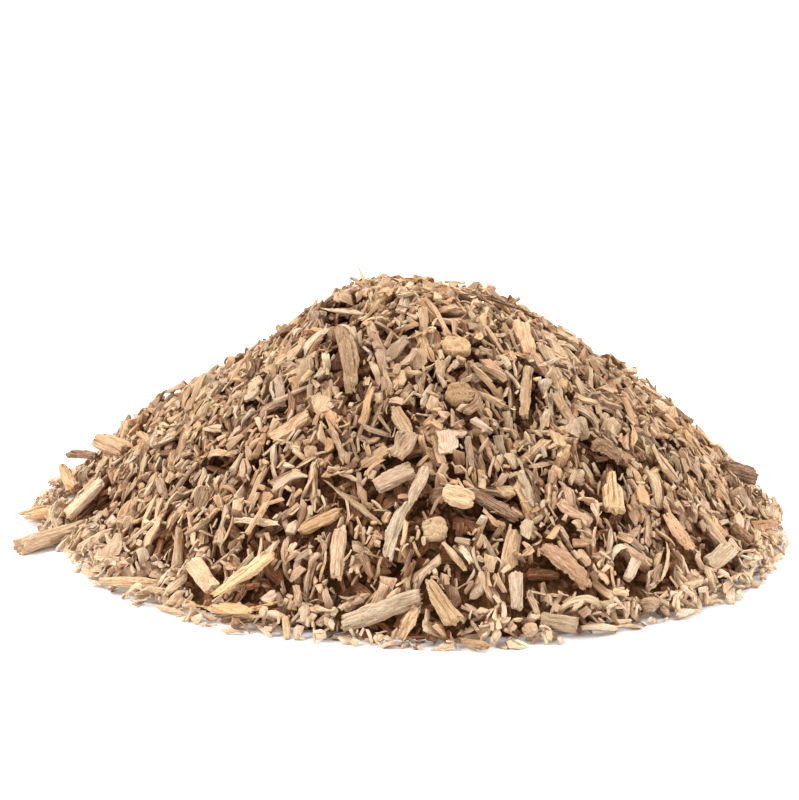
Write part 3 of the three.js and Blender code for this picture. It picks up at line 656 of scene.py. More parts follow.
def blurred(field, reach):
    """A field smoothed by a bell of the given reach in cells"""
    rows, columns = field.shape
    pad = int(3 * reach)
    wide = np.pad(field, pad)
    fx = np.fft.fftfreq(wide.shape[0])[:, None]
    fy = np.fft.rfftfreq(wide.shape[1])[None, :]
    bell = np.exp(-2 * (math.pi * reach) ** 2 * (fx * fx + fy * fy))
    smooth = np.fft.irfft2(np.fft.rfft2(wide) * bell, s=wide.shape)
    return smooth[pad:pad + rows, pad:pad + columns]


EVENED_MM = 4.0  # over which the heap's solid is evened out
HUMPS = ((15.0, 1.6, 5), (8.0, 1.9, 6))  # width and height of the heap's humps, and their seed
CHIP_RISE_MM = 1.2  # how far the chips rise over the surface they are heaped up to
LEAST_DEPTH_MM = 0.8
COVERED_MM = 0.3  # a cell belongs to the heap's foot where its solid is higher than this


def heap_target(grid):
    """The uneven surface that the chips are heaped up to, and where the heap's foot is"""
    samples = surface_samples(frame["nodes"][HEAP_NODE], CELL_MM)
    raw = np.zeros(grid.shape)
    i, j = grid.cells(samples[:, 0], samples[:, 1])
    np.maximum.at(raw, (i, j), samples[:, 2])
    covered = (raw > COVERED_MM).astype(float)
    reach = EVENED_MM / CELL_MM
    weight = blurred(covered, reach)
    smooth = blurred(raw * covered, reach) / np.maximum(weight, 1e-3)
    flat = np.concatenate([grid.places(), np.zeros((*grid.shape, 1))], -1)
    uneven = sum(height * lattice_noise(flat / width, seed) for width, height, seed in HUMPS)
    surface = np.maximum(smooth + uneven - CHIP_RISE_MM, LEAST_DEPTH_MM)
    return np.where(covered > 0, surface, 0.0), covered > 0


PIT_REACH_MM = 6.0
PIT_SLOPE = 0.45
OPEN_MM = 1000.0  # stands for no chip over a cell


def eased(heights):
    """Heights that rise gently away from the cells that have one, so that no named chip lies in a pit"""
    for _ in range(int(PIT_REACH_MM / CELL_MM)):
        for axis in (0, 1):
            for step in (-1, 1):
                heights = np.minimum(heights, np.roll(heights, step, axis) + PIT_SLOPE * CELL_MM)
    return heights


# Tones

# Tones of a chip: name, share
TONES = (
    ("cream", 0.30), ("tan", 0.50), ("pink", 0.07), ("yellow", 0.02), ("grey", 0.05), ("brown", 0.06)
)
FOOT_LIGHT = 0.85  # how far the chips at the foot are paled: painted light from the bright floor
# how far up from the floor the painted floor light reaches
FOOT_REACH_MM = 11.0
PAINTED_TOP_SHADE = 0.08  # how much darker than usual the chips at the top are: painted shade against the stronger light there
PATCH_MM = 12.0
PATCHINESS = 0.15
# the pale colour that the painted floor light turns the chips at the foot towards
FLOOR_LIGHT_COLOUR = (0.90, 0.70, 0.49)


def chip_tone(rng, tone=None, shade=1.0, floor_lit=0.0):
    """A chip's tone as a colour: its wood colour varied a little, with its share of dark skin as alpha"""
    names = [name for name, _ in TONES]
    shares = np.array([share for _, share in TONES])
    name = tone or names[rng.choice(len(names), p=shares / shares.sum())]
    colours = bpy.context.scene.kava_colours
    base = np.array(getattr(colours, name))
    base = base * (base / base.max()) ** rng.uniform(-0.26, 0.42)
    # painted light: chips near the floor are paled towards the floor light's colour
    base = base * (1.0 - floor_lit) + floor_lit * np.array(FLOOR_LIGHT_COLOUR)
    base = base * rng.uniform(0.91, 1.18) * rng.uniform(0.97, 1.03, 3) * shade
    skin = {"grey": 0.45, "brown": 0.7}.get(name, rng.uniform(0.0, 0.3))
    return np.append(np.clip(base, 0.0, 0.95), skin)


# Named chips made darker or paler than their tone; the paler ones at 1.3 get painted light against the shade
# they lie in
DARKENED_AND_LIT_CHIPS = {
    0.5: ("long_splinter_front", "bark_blade_right", "dark_root_chunk_right", "curved_blade_upper_left"),
    0.7: (
        "grey_slice_upper", "upright_stick_right", "leaf_chip_front_foot", "curled_slab_right",
        "pale_blade_upper", "yellow_leaf_flake", "root_stub_right_foot", "bark_flake_left", "big_curl_right",
        "bark_strip_top_right",
    ),
    1.3: (
        "slanting_flake_left", "rim_sliver_left", "fibrous_bundle_right", "frayed_root_end_left",
        "cross_chip_level", "standing_twig_top", "frayed_chip_front", "long_yellow_stick",
        "pink_flake_top_right",
    ),
}


# Laying chips


def support(profile, steps):
    """Height at the middle and slope of a straight edge that comes to rest on a profile"""
    left = steps < 0
    right = steps > 0
    at_left = steps[left][:, None]
    at_right = steps[right][None, :]
    middle = (profile[left][:, None] * at_right - profile[right][None, :] * at_left) / (at_right - at_left)
    best = np.unravel_index(np.argmax(middle), middle.shape)
    rise = profile[right][best[1]] - profile[left][best[0]]
    return middle[best], rise / (steps[right][best[1]] - steps[left][best[0]])


ALONG_STEPS = np.linspace(-0.46, 0.46, 8)
ACROSS_STEPS = np.array([-0.4, 0.4])
STEEPEST = 1.5


def rest_axes(grid, x, y, heading, size, tip):
    """Axes of a chip that comes to rest over a place: along it, across it and up from it"""
    ahead = np.array([math.cos(heading), math.sin(heading)])
    side = np.array([-ahead[1], ahead[0]])
    run = ALONG_STEPS * size[0]
    px = x + ahead[0] * run[:, None] + side[0] * (ACROSS_STEPS * size[1])[None, :]
    py = y + ahead[1] * run[:, None] + side[1] * (ACROSS_STEPS * size[1])[None, :]
    i, j = grid.cells(px, py)
    heights = grid.height[i, j]
    slope = max(-STEEPEST, min(STEEPEST, support(heights.max(1), run)[1]))
    roll = (heights[:, 1].max() - heights[:, 0].max()) / (0.8 * size[1])
    roll = max(-1.0, min(1.0, 0.5 * roll))
    slope += tip
    along = np.array([ahead[0], ahead[1], slope])
    along /= np.linalg.norm(along)
    across = np.array([side[0], side[1], roll])
    across -= along * (along @ across)
    across /= np.linalg.norm(across)
    return along, across, np.cross(along, across)


# How far a kind may be turned round its length from lying flat, and which kinds lie on edge now and then
FREE_ROLL = {
    "shard": 3.1, "bundle": 3.1, "chunk": 3.1, "lump": 3.1, "fibre": 3.1, "bit": 3.1, "strip": 1.3,
    "curl": 0.8,
}
ON_EDGE = ("torn", "blade", "strip", "layered")
# How far each kind may be bowed, as a share of its length
BOWS = {
    "blade": 0.16, "strip": 0.2, "torn": 0.14, "fibre": 0.25, "shard": 0.07, "bundle": 0.11, "layered": 0.09,
}


def bent_points(form, size, rng):
    """A form at a chip's size, tapered, twisted and bowed in its own way: its points, samples and grain"""
    scale = size / form["size"]
    turned = rng.random() < 0.5
    taper = rng.uniform(-0.5, 0.5)
    spin = rng.uniform(-0.6, 0.6)
    bow = rng.normal(0, BOWS.get(form["kind"], 0.0), 2)
    made = []
    for points in (form["points"], form["samples"]):
        body = points * scale
        run = body[:, 0] / size[0]
        body[:, 1] *= 1.0 + taper * run
        angle = spin * run * 2
        y = body[:, 1] * np.cos(angle) - body[:, 2] * np.sin(angle)
        z = body[:, 1] * np.sin(angle) + body[:, 2] * np.cos(angle)
        arch = (0.25 - run ** 2) * size[0]
        body = np.stack([body[:, 0], y + arch * bow[0], z + arch * bow[1]], 1)
        if turned:
            body[:, 0:2] *= -1
        made.append(body)
    return made[0], made[1], form["grain"] * scale


class Manner(NamedTuple):
    """How a batch of chips is laid"""

    limit: float  # how far a chip may stand out over the target, in millimetres
    spread: int  # how many places are looked at to find a low one
    jutting: float = 0.0  # share of the chips that stick out
    cover: float = 0.0  # share of a chip that may come to lie over the ceiling
    # how bright their tones are: under 1 it is painted shade on chips that lie deep among the others
    shade: float = 1.0
    around: bool = False  # whether the chips lie along the heap's foot
    looseness: float = 0.28  # how far they lie out of line with what is below


BOX_GAP_MM = 0.1  # how far inside the solids' box the chips stay
LARGEST_GROWTH = 1.7


class Layer:
    """Lays chips on the height grid one by one, and keeps them by size"""

    def __init__(self, grid, forms, rng, ceiling):
        self.grid = grid
        self.forms = forms
        self.rng = rng
        self.ceiling = ceiling
        self.laid = {name: [] for name in CLASS_KINDS}
        low, high = CAD_BOX
        self.lowest = np.array([low.x, low.y]) / MM + BOX_GAP_MM
        self.highest = np.array([high.x, high.y, high.z]) / MM - BOX_GAP_MM

    def lay(self, name, count, target, foot, manner):
        """Drops chips of a size where the heap is lowest under its target surface"""
        kinds = CLASS_KINDS[name]
        places = np.argwhere(foot)
        shares = np.array([share for _, share, _, _ in kinds])
        before = len(self.laid[name])
        for pick in self.rng.choice(len(kinds), 2 * count, p=shares / shares.sum()):
            if len(self.laid[name]) == before + count:
                break
            self.drop(name, kinds[pick][0], target, places, manner)

    def drop(self, name, kind, target, places, manner):
        """Drops one chip, unless it would stand out too far however it is turned"""
        grid, rng = self.grid, self.rng
        form = self.forms[name][kind][rng.integers(0, len(self.forms[name][kind]))]
        growth = min(LARGEST_GROWTH, math.exp(rng.normal(0, 0.27)))
        size = form["size"] * growth * rng.uniform(0.85, 1.18, 3)
        points, samples, grain = bent_points(form, size, rng)
        tries = places[rng.integers(0, len(places), manner.spread)]
        want = target[tries[:, 0], tries[:, 1]] - grid.height[tries[:, 0], tries[:, 1]]
        spot = tries[int(np.argmax(want))]
        x, y = grid.place(spot[0] + rng.uniform(-0.5, 0.5), spot[1] + rng.uniform(-0.5, 0.5))
        for _ in range(3):
            axes, juts = self.turned_axes(kind, x, y, size, manner)
            reached = samples @ axes + np.array([x, y, 0.0])
            if (reached.min(0)[:2] < self.lowest).any() or (reached.max(0)[:2] > self.highest[:2]).any():
                continue
            i, j = grid.cells(reached[:, 0], reached[:, 1])
            lift = (grid.height[i, j] - reached[:, 2]).max()
            lift -= rng.uniform(0.1, 0.65) * size[2] + (0.18 * size[0] * abs(axes[0, 2]) if juts else 0.0)
            lift = max(lift, FLOOR_GAP_MM - reached[:, 2].min())
            top = reached[:, 2] + lift
            over = (top > self.ceiling[i, j] + 0.3).mean()
            out = (top - target[i, j]).max()
            if top.max() < self.highest[2] and out < manner.limit + 1.5 * juts and over <= manner.cover:
                break
        else:
            return
        np.maximum.at(grid.height, (i, j), top)
        placed = points @ axes + np.array([x, y, lift])
        placed[:, 2] = np.maximum(placed[:, 2], LOWEST_MM)
        # the tone: patches of paler and darker wood, painted shade growing towards the top, painted light
        # near the floor
        patch = lattice_noise(np.array([x, y, 0.0]) / PATCH_MM, 8)
        tone = chip_tone(
            rng, shade=manner.shade * (1.0 + PATCHINESS * patch - PAINTED_TOP_SHADE * lift / self.highest[2]),
            floor_lit=FOOT_LIGHT * math.exp(-max(lift, 0.0) / FOOT_REACH_MM),
        )
        self.laid[name].append({"form": form, "points": placed, "grain": grain, "tone": tone})

    def turned_axes(self, kind, x, y, size, manner):
        """A chip's axes as it comes to rest one way or another, and whether it juts out"""
        rng = self.rng
        juts = rng.random() < manner.jutting
        tip = rng.uniform(0.45, 1.2) * rng.choice((-1, 1)) if juts else rng.normal(0, manner.looseness)
        heading = rng.uniform(0, 2 * math.pi)
        if manner.around:
            heading = math.atan2(y, x) + math.pi / 2 + rng.normal(0, 0.5)
        along, across, up = rest_axes(self.grid, x, y, heading, size, tip)
        roll = rng.uniform(-1, 1) * FREE_ROLL[kind] if kind in FREE_ROLL else rng.normal(0, 0.3)
        if kind in ON_EDGE and rng.random() < 0.25:
            roll = rng.uniform(-1.4, 1.4)
        side = across * math.cos(roll) + up * math.sin(roll)
        return np.stack([along, side, np.cross(along, side)]), juts


# Meshes of many chips


def crevice_shaded(grid, surface, points, tone):
    """A chip's tone at each of its points with painted shade, deeper and redder the further down among the
    others it lies
    """
    i, j = grid.cells(points[:, 0], points[:, 1])
    covered = grid.height[i, j] - points[:, 2] - 0.7
    sunk = surface[i, j] - points[:, 2] + 0.2
    # the painted shade fades out near the floor, where light comes back off it
    inside = np.clip(points[:, 2] / 10.0, 0.0, 1.0)
    deep = np.clip(np.maximum(covered, sunk * inside) * (0.4 + 0.6 * inside) / 4.0, 0.0, 1.0)[:, None]
    spread = np.tile(tone, (len(points), 1))
    spread[:, :3] *= 1.0 - deep * np.array([0.70, 0.885, 0.968])
    return spread


SIGHT_MM = 6.0  # how far in front of a named chip the others stay low enough to leave it in sight
SURFACE_REACH_MM = 2.5  # over which the heights of the heap are evened out to its general surface


def joined_chips(name, laid, grid, rng):
    """One mesh of many chips, each with its grain, its tone with painted shade, and its own patch of the
    texture
    """
    all_points, all_grain, all_tone, all_cut = [], [], [], []
    all_corners, all_sizes, all_patch = [], [], []
    across_count = max(1, math.ceil(math.sqrt(len(laid))))
    surface = blurred(grid.height, SURFACE_REACH_MM / CELL_MM)
    offset = 0
    for number, chip in enumerate(laid):
        form = chip["form"]
        count = len(chip["points"])
        cell = np.array([number % across_count, number // across_count])
        all_points.append(chip["points"])
        all_grain.append(chip["grain"] + rng.uniform(-500, 500, 3))
        all_tone.append(crevice_shaded(grid, surface, chip["points"], chip["tone"]))
        all_cut.append(form["cut"])
        all_corners.append(form["corners"] + offset)
        all_sizes.append(form["sizes"])
        all_patch.append((cell + 0.06 + 0.88 * form["unrolled"]) / across_count)
        offset += count
    points, corners, sizes = (np.concatenate(a) for a in (all_points, all_corners, all_sizes))
    mesh = mesh_from_arrays(name, points * MM, corners, sizes)
    add_grain(mesh, np.concatenate(all_grain), np.concatenate(all_tone), np.concatenate(all_cut))
    layer = mesh.uv_layers.new(name="OFBake")
    layer.data.foreach_set("uv", np.concatenate(all_patch).astype(np.float32).ravel())
    return finished_piece(name, mesh, CHIP_EDGE)


def mesh_from_arrays(name, points, corners, sizes):
    """A mesh from arrays of points, face corners and face sizes"""
    mesh = bpy.data.meshes.new(name)
    mesh.vertices.add(len(points))
    mesh.vertices.foreach_set("co", points.astype(np.float32).ravel())
    mesh.loops.add(len(corners))
    mesh.loops.foreach_set("vertex_index", corners.astype(np.int32))
    mesh.polygons.add(len(sizes))
    starts = np.concatenate([[0], np.cumsum(sizes)[:-1]])
    mesh.polygons.foreach_set("loop_start", starts.astype(np.int32))
    mesh.update(calc_edges=True)
    return mesh


def add_grain(mesh, grain, tone, cut):
    """Gives a mesh the grain coordinates in millimetres, the tone and the closeness to a cut end"""
    rows = (
        ("grain", "FLOAT_VECTOR", "vector", grain),
        ("tone", "FLOAT_COLOR", "color", tone),
        ("cut", "FLOAT", "value", cut),
    )
    for name, kind, key, values in rows:
        attribute = mesh.attributes.new(name, kind, "POINT")
        attribute.data.foreach_set(key, values.astype(np.float32).ravel())


# The angle in degrees past which two faces meet in a sharp edge
CHIP_EDGE = 28.0
NAMED_CHIP_EDGE = 38.0
BED_EDGE = 20.0


def finished_piece(name, mesh, sharp_degrees):
    """An object for a mesh, its edges sharp where its faces meet at more than an angle"""
    mesh.polygons.foreach_set("use_smooth", np.ones(len(mesh.polygons), bool))
    mesh.set_sharp_from_angle(angle=math.radians(sharp_degrees))
    piece = bpy.data.objects.new(name, mesh)
    bpy.context.scene.collection.objects.link(piece)
    return piece


# Materials


class Socket:
    """A node's output socket that sums up in plain expressions"""

    def __init__(self, tree, socket):
        self.tree = tree
        self.socket = socket

    def combine(self, operation, other, turned=False):
        first, second = (other, self) if turned else (self, other)
        return self.tree.node("ShaderNodeMath", {"operation": operation}, {0: first, 1: second})

    def __add__(self, other):
        return self.combine("ADD", other)

    def __sub__(self, other):
        return self.combine("SUBTRACT", other)

    def __rsub__(self, other):
        return self.combine("SUBTRACT", other, turned=True)

    def __mul__(self, other):
        return self.combine("MULTIPLY", other)

    __radd__ = __add__
    __rmul__ = __mul__


class Material:
    """A node material made in code"""

    def __init__(self, name):
        self.material = bpy.data.materials.new(name)
        self.material.use_nodes = True
        self.tree = self.material.node_tree
        self.tree.nodes.clear()
        self.output = self.tree.nodes.new("ShaderNodeOutputMaterial")

    def node(self, kind, settings=None, inputs=None, output=0):
        """A node of a kind: its settings first, then the values or links of its sockets"""
        made = self.tree.nodes.new(kind)
        for key, value in (settings or {}).items():
            setattr(made, key, value)
        for key, value in (inputs or {}).items():
            if isinstance(value, Socket):
                self.tree.links.new(value.socket, made.inputs[key])
            else:
                made.inputs[key].default_value = value
        return Socket(self, made.outputs[output])

    def mix(self, share, first, second):
        return self.node("ShaderNodeMix", {"data_type": "RGBA"}, {0: share, 6: first, 7: second}, output=2)

    def stretched(self, vector, scale):
        return self.node("ShaderNodeVectorMath", {"operation": "MULTIPLY"}, {0: vector, 1: scale})

    def noise(self, vector, detail=2.0, roughness=0.55):
        return self.node(
            "ShaderNodeTexNoise", None,
            {"Vector": vector, "Scale": 1.0, "Detail": detail, "Roughness": roughness},
        )

    def span(self, value, low, high, to_low=0.0, to_high=1.0):
        return self.node(
            "ShaderNodeMapRange", {"interpolation_type": "SMOOTHSTEP"},
            {"Value": value, "From Min": low, "From Max": high, "To Min": to_low, "To Max": to_high},
        )


def palette(*names):
    """Colours of the dried root as a material takes them"""
    return [(*getattr(bpy.context.scene.kava_colours, name), 1.0) for name in names]


FIBRE_HIGHLIGHT = (0.95, 0.8, 0.6, 1.0)


def wood_material(name):
    """Dry split root: fibres along the grain with a painted highlight on the raised ones, paler and darker
    streaks, dark skin left on some faces
    """
    m = Material(name)
    cream, grey, brown, dark = palette("cream", "grey", "brown", "dark")
    grain = m.node("ShaderNodeAttribute", {"attribute_name": "grain"}, output="Vector")
    tone = m.node("ShaderNodeAttribute", {"attribute_name": "tone"}, output="Color")
    skin = m.node("ShaderNodeAttribute", {"attribute_name": "tone"}, output="Alpha")
    cut = m.node("ShaderNodeAttribute", {"attribute_name": "cut"}, output="Fac")
    sides = 1.0 - cut * 0.65

    streaks = m.noise(m.stretched(grain, (0.10, 1.5, 1.5)), detail=3.0)
    fibres = m.noise(m.stretched(grain, (0.3, 3.4, 3.4)), detail=3.0, roughness=0.65)
    blotches = m.noise(m.stretched(grain, (0.22, 0.4, 0.4)), detail=2.0)
    pores = m.noise(m.stretched(grain, (1.6, 3.2, 3.2)), detail=2.0)

    pale = m.mix(m.span(streaks, 0.45, 0.72), tone, m.mix(0.3, tone, cream))
    streaky = m.mix(m.span(streaks, 0.52, 0.30, 0.0, 0.6) * sides, pale, m.mix(0.72, pale, brown))
    fibred = m.mix(m.span(fibres, 0.54, 0.3) * sides, streaky, m.mix(0.66, streaky, brown))
    stains = m.span(m.noise(m.stretched(grain, (0.24, 0.6, 0.6)), detail=4.0, roughness=0.65), 0.5, 0.68)
    stained = m.mix(stains * 0.5, fibred, m.mix(0.6, fibred, brown))
    # painted highlight: the raised fibres on the sides are paled towards a near white
    lit = m.mix(m.span(fibres, 0.52, 0.7, 0.0, 0.5) * sides, stained, m.mix(0.6, stained, FIBRE_HIGHLIGHT))
    skin_mask = m.span(blotches + skin * 0.62, 0.78, 0.92)
    skin_colour = m.mix(m.span(fibres, 0.35, 0.65), dark, grey)
    skinned = m.mix(skin_mask * 0.75, lit, skin_colour)
    sawn = m.span(m.noise(m.stretched(grain, (0.9, 1.3, 1.3)), detail=4.0), 0.4, 0.66)
    ended = m.mix((0.12 + sawn * 0.4) * cut, skinned, m.mix(0.5, skinned, brown))
    colour = m.mix(m.span(pores, 0.42, 0.26, 0.0, 0.7), ended, m.mix(0.65, ended, dark))

    height = streaks * 0.55 + fibres * 0.35 + pores * 0.3 + sawn * cut * 0.4
    bump = m.node("ShaderNodeBump", None, {"Strength": 0.9, "Distance": 0.0005, "Height": height})
    rough = m.span(fibres, 0.3, 0.7, 0.92, 0.74)
    shader = m.node(
        "ShaderNodeBsdfPrincipled", None,
        {"Base Color": colour, "Roughness": rough, "Normal": bump, "Specular IOR Level": 0.28},
    )
    m.tree.links.new(shader.socket, m.output.inputs["Surface"])
    return m.material


def shaded_crumb_material():
    """Small crumbs, darkened as painted deep shade"""
    m = Material("crumbs_in_painted_shade")
    brown, dark = palette("brown", "dark")
    place = m.stretched(m.node("ShaderNodeTexCoord", output="Object"), (500.0, 500.0, 500.0))
    crumbs = m.node("ShaderNodeTexVoronoi", {"feature": "F1"}, {"Vector": place, "Scale": 1.0})
    clumps = m.noise(m.stretched(place, (0.3, 0.3, 0.3)))
    colour = m.mix(m.span(clumps - crumbs * 0.4, 0.05, 0.5), dark, brown)
    bump = m.node("ShaderNodeBump", None, {"Strength": 1.0, "Distance": 0.002, "Height": 1.0 - crumbs})
    shader = m.node(
        "ShaderNodeBsdfPrincipled", None,
        {"Base Color": colour, "Roughness": 0.9, "Normal": bump, "Specular IOR Level": 0.2},
    )
    m.tree.links.new(shader.socket, m.output.inputs["Surface"])
    return m.material


# The large named chips

# Each tone's slot in the record
TONE_SLOTS = {
    "cream": "pale_split_wood",
    "tan": "tan_split_wood",
    "pink": "pinkish_split_wood",
    "yellow": "yellow_inner_wood",
    "grey": "grey_brown_root",
    "brown": "brown_bark",
}


def node_slots():
    """The material slot of each CAD node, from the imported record"""
    return {part["node"]: part["material_slot"] for part in frame["record"]["subparts"]}


def merged_copy(node):
    """A copy of a node's mesh with its loose triangles joined up"""
    bm = bmesh.new()
    bm.from_mesh(frame["nodes"][node].data)
    bmesh.ops.remove_doubles(bm, verts=bm.verts[:], dist=1e-6)
    bmesh.ops.recalc_face_normals(bm, faces=bm.faces[:])
    mesh = bpy.data.meshes.new(node + "_rough")
    bm.to_mesh(mesh)
    bm.free()
    return mesh


def is_cross_cut(node):
    """Whether a chip's grain runs through its thickness"""
    return "slice" in node


def grain_frame(mesh, node):
    """A large chip's points, the axes of its grain and its points along them"""
    points = point_array(mesh) / MM
    middle = (points.max(0) + points.min(0)) / 2
    _, axes = np.linalg.eigh(np.cov((points - middle).T))
    axes = axes[:, ::-1]
    if is_cross_cut(node):
        axes = axes[:, [2, 1, 0]]
    return points, axes, (points - middle) @ axes


def chip_seed(number):
    return 40 + number * 7


def carve(mesh, node, number):
    """Fibre ridges, cracks and ragged split ends on the fine mesh of a large chip"""
    normals = normal_array(mesh)
    points, axes, local = grain_frame(mesh, node)
    half = np.abs(local).max(0)
    seed = chip_seed(number)
    thin = min(1.0, half.min() / 1.2)
    points = weathered(points, normals, local + seed, seed, thin * (0.8 if is_cross_cut(node) else 1.0))
    if not is_cross_cut(node):
        ragged = 0.5 + 0.5 * lattice_noise(local * np.array([0.02, 1.5, 1.5]) + seed * 3, seed + 5)
        near_end = np.clip(np.abs(local[:, 0]) / half[0] * 3.0 - 2.0, 0, 1)
        pull = near_end * ragged * min(2.6, 0.2 * half[0])
        points = points - np.sign(local[:, 0:1]) * pull[:, None] * axes[:, 0][None, :]
    points[:, 2] = np.maximum(points[:, 2], LOWEST_MM)
    mesh.vertices.foreach_set("co", (points * MM).astype(np.float32).ravel())
    mesh.update()


def tint(mesh, node, number):
    """Gives a large chip its grain and its tone, and returns its slot in the record"""
    points, _, local = grain_frame(mesh, node)
    rng = np.random.default_rng(chip_seed(number))
    slot = node_slots()[node]
    tone_name = next(tone for tone, named in TONE_SLOTS.items() if named == slot)
    cut = np.clip(np.abs(local[:, 0]) / np.abs(local[:, 0]).max() * 8 - 7, 0, 1)
    if is_cross_cut(node):
        cut = np.ones(len(points))
    # a named chip's brightness from the table: 1.3 is painted light against the shade it lies in
    shade = next((value for value, nodes in DARKENED_AND_LIT_CHIPS.items() if node in nodes), 1.0)
    tone = np.tile(chip_tone(rng, tone_name, shade), (len(points), 1))
    add_grain(mesh, local + rng.uniform(-500, 500, 3), tone, cut)
    return slot


class KAVA_OT_named_chips(bpy.types.Operator):
    """Carve the large chips that have solids of their own"""

    bl_idname = "kava.named_chips"
    bl_label = "Large Named Chips"

    def execute(self, context):
        settings = context.scene.kava_heap
        materials = {slot: wood_material(slot) for slot in TONE_SLOTS.values()}
        names = sorted(name for name in frame["nodes"] if name != HEAP_NODE)
        rough = [merged_copy(node) for node in names]
        grain = {"mode": "VOXEL", "voxel_size": settings.chip_resolution}
        fine = with_modifiers(rough, "REMESH", [grain] * len(names))
        for number, (node, mesh) in enumerate(zip(names, fine)):
            carve(mesh, node, number)
        lighter = with_modifiers(fine, "DECIMATE", [{"ratio": 0.5}] * len(names))
        for number, (node, mesh) in enumerate(zip(names, lighter)):
            if not len(mesh.polygons):
                raise RuntimeError(f"{node} came out empty")
            mesh.name = node + "_wood"
            slot = tint(mesh, node, number)
            piece = finished_piece(node + "_wood", mesh, NAMED_CHIP_EDGE)
            mesh.materials.append(materials[slot])
            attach(piece, "root")
            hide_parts(node)
        return {"FINISHED"}


# Into how many meshes the chips of each size go
SECTORS = {"large": 1, "medium": 4, "deep": 2, "small": 3, "crumb": 1}

# How far the heap's foot is evened out to find its inner part, its fringe and its rim
INNER_MM = 7.0
FRINGE_MM = 3.0
RIM_MM = 5.0

# The bed under the chips
BED_STEP = 3  # cells from one point of it to the next
BED_SINK_MM = 2.0
BED_ROUGH_MM = 0.7
BED_LEAST_MM = 0.3


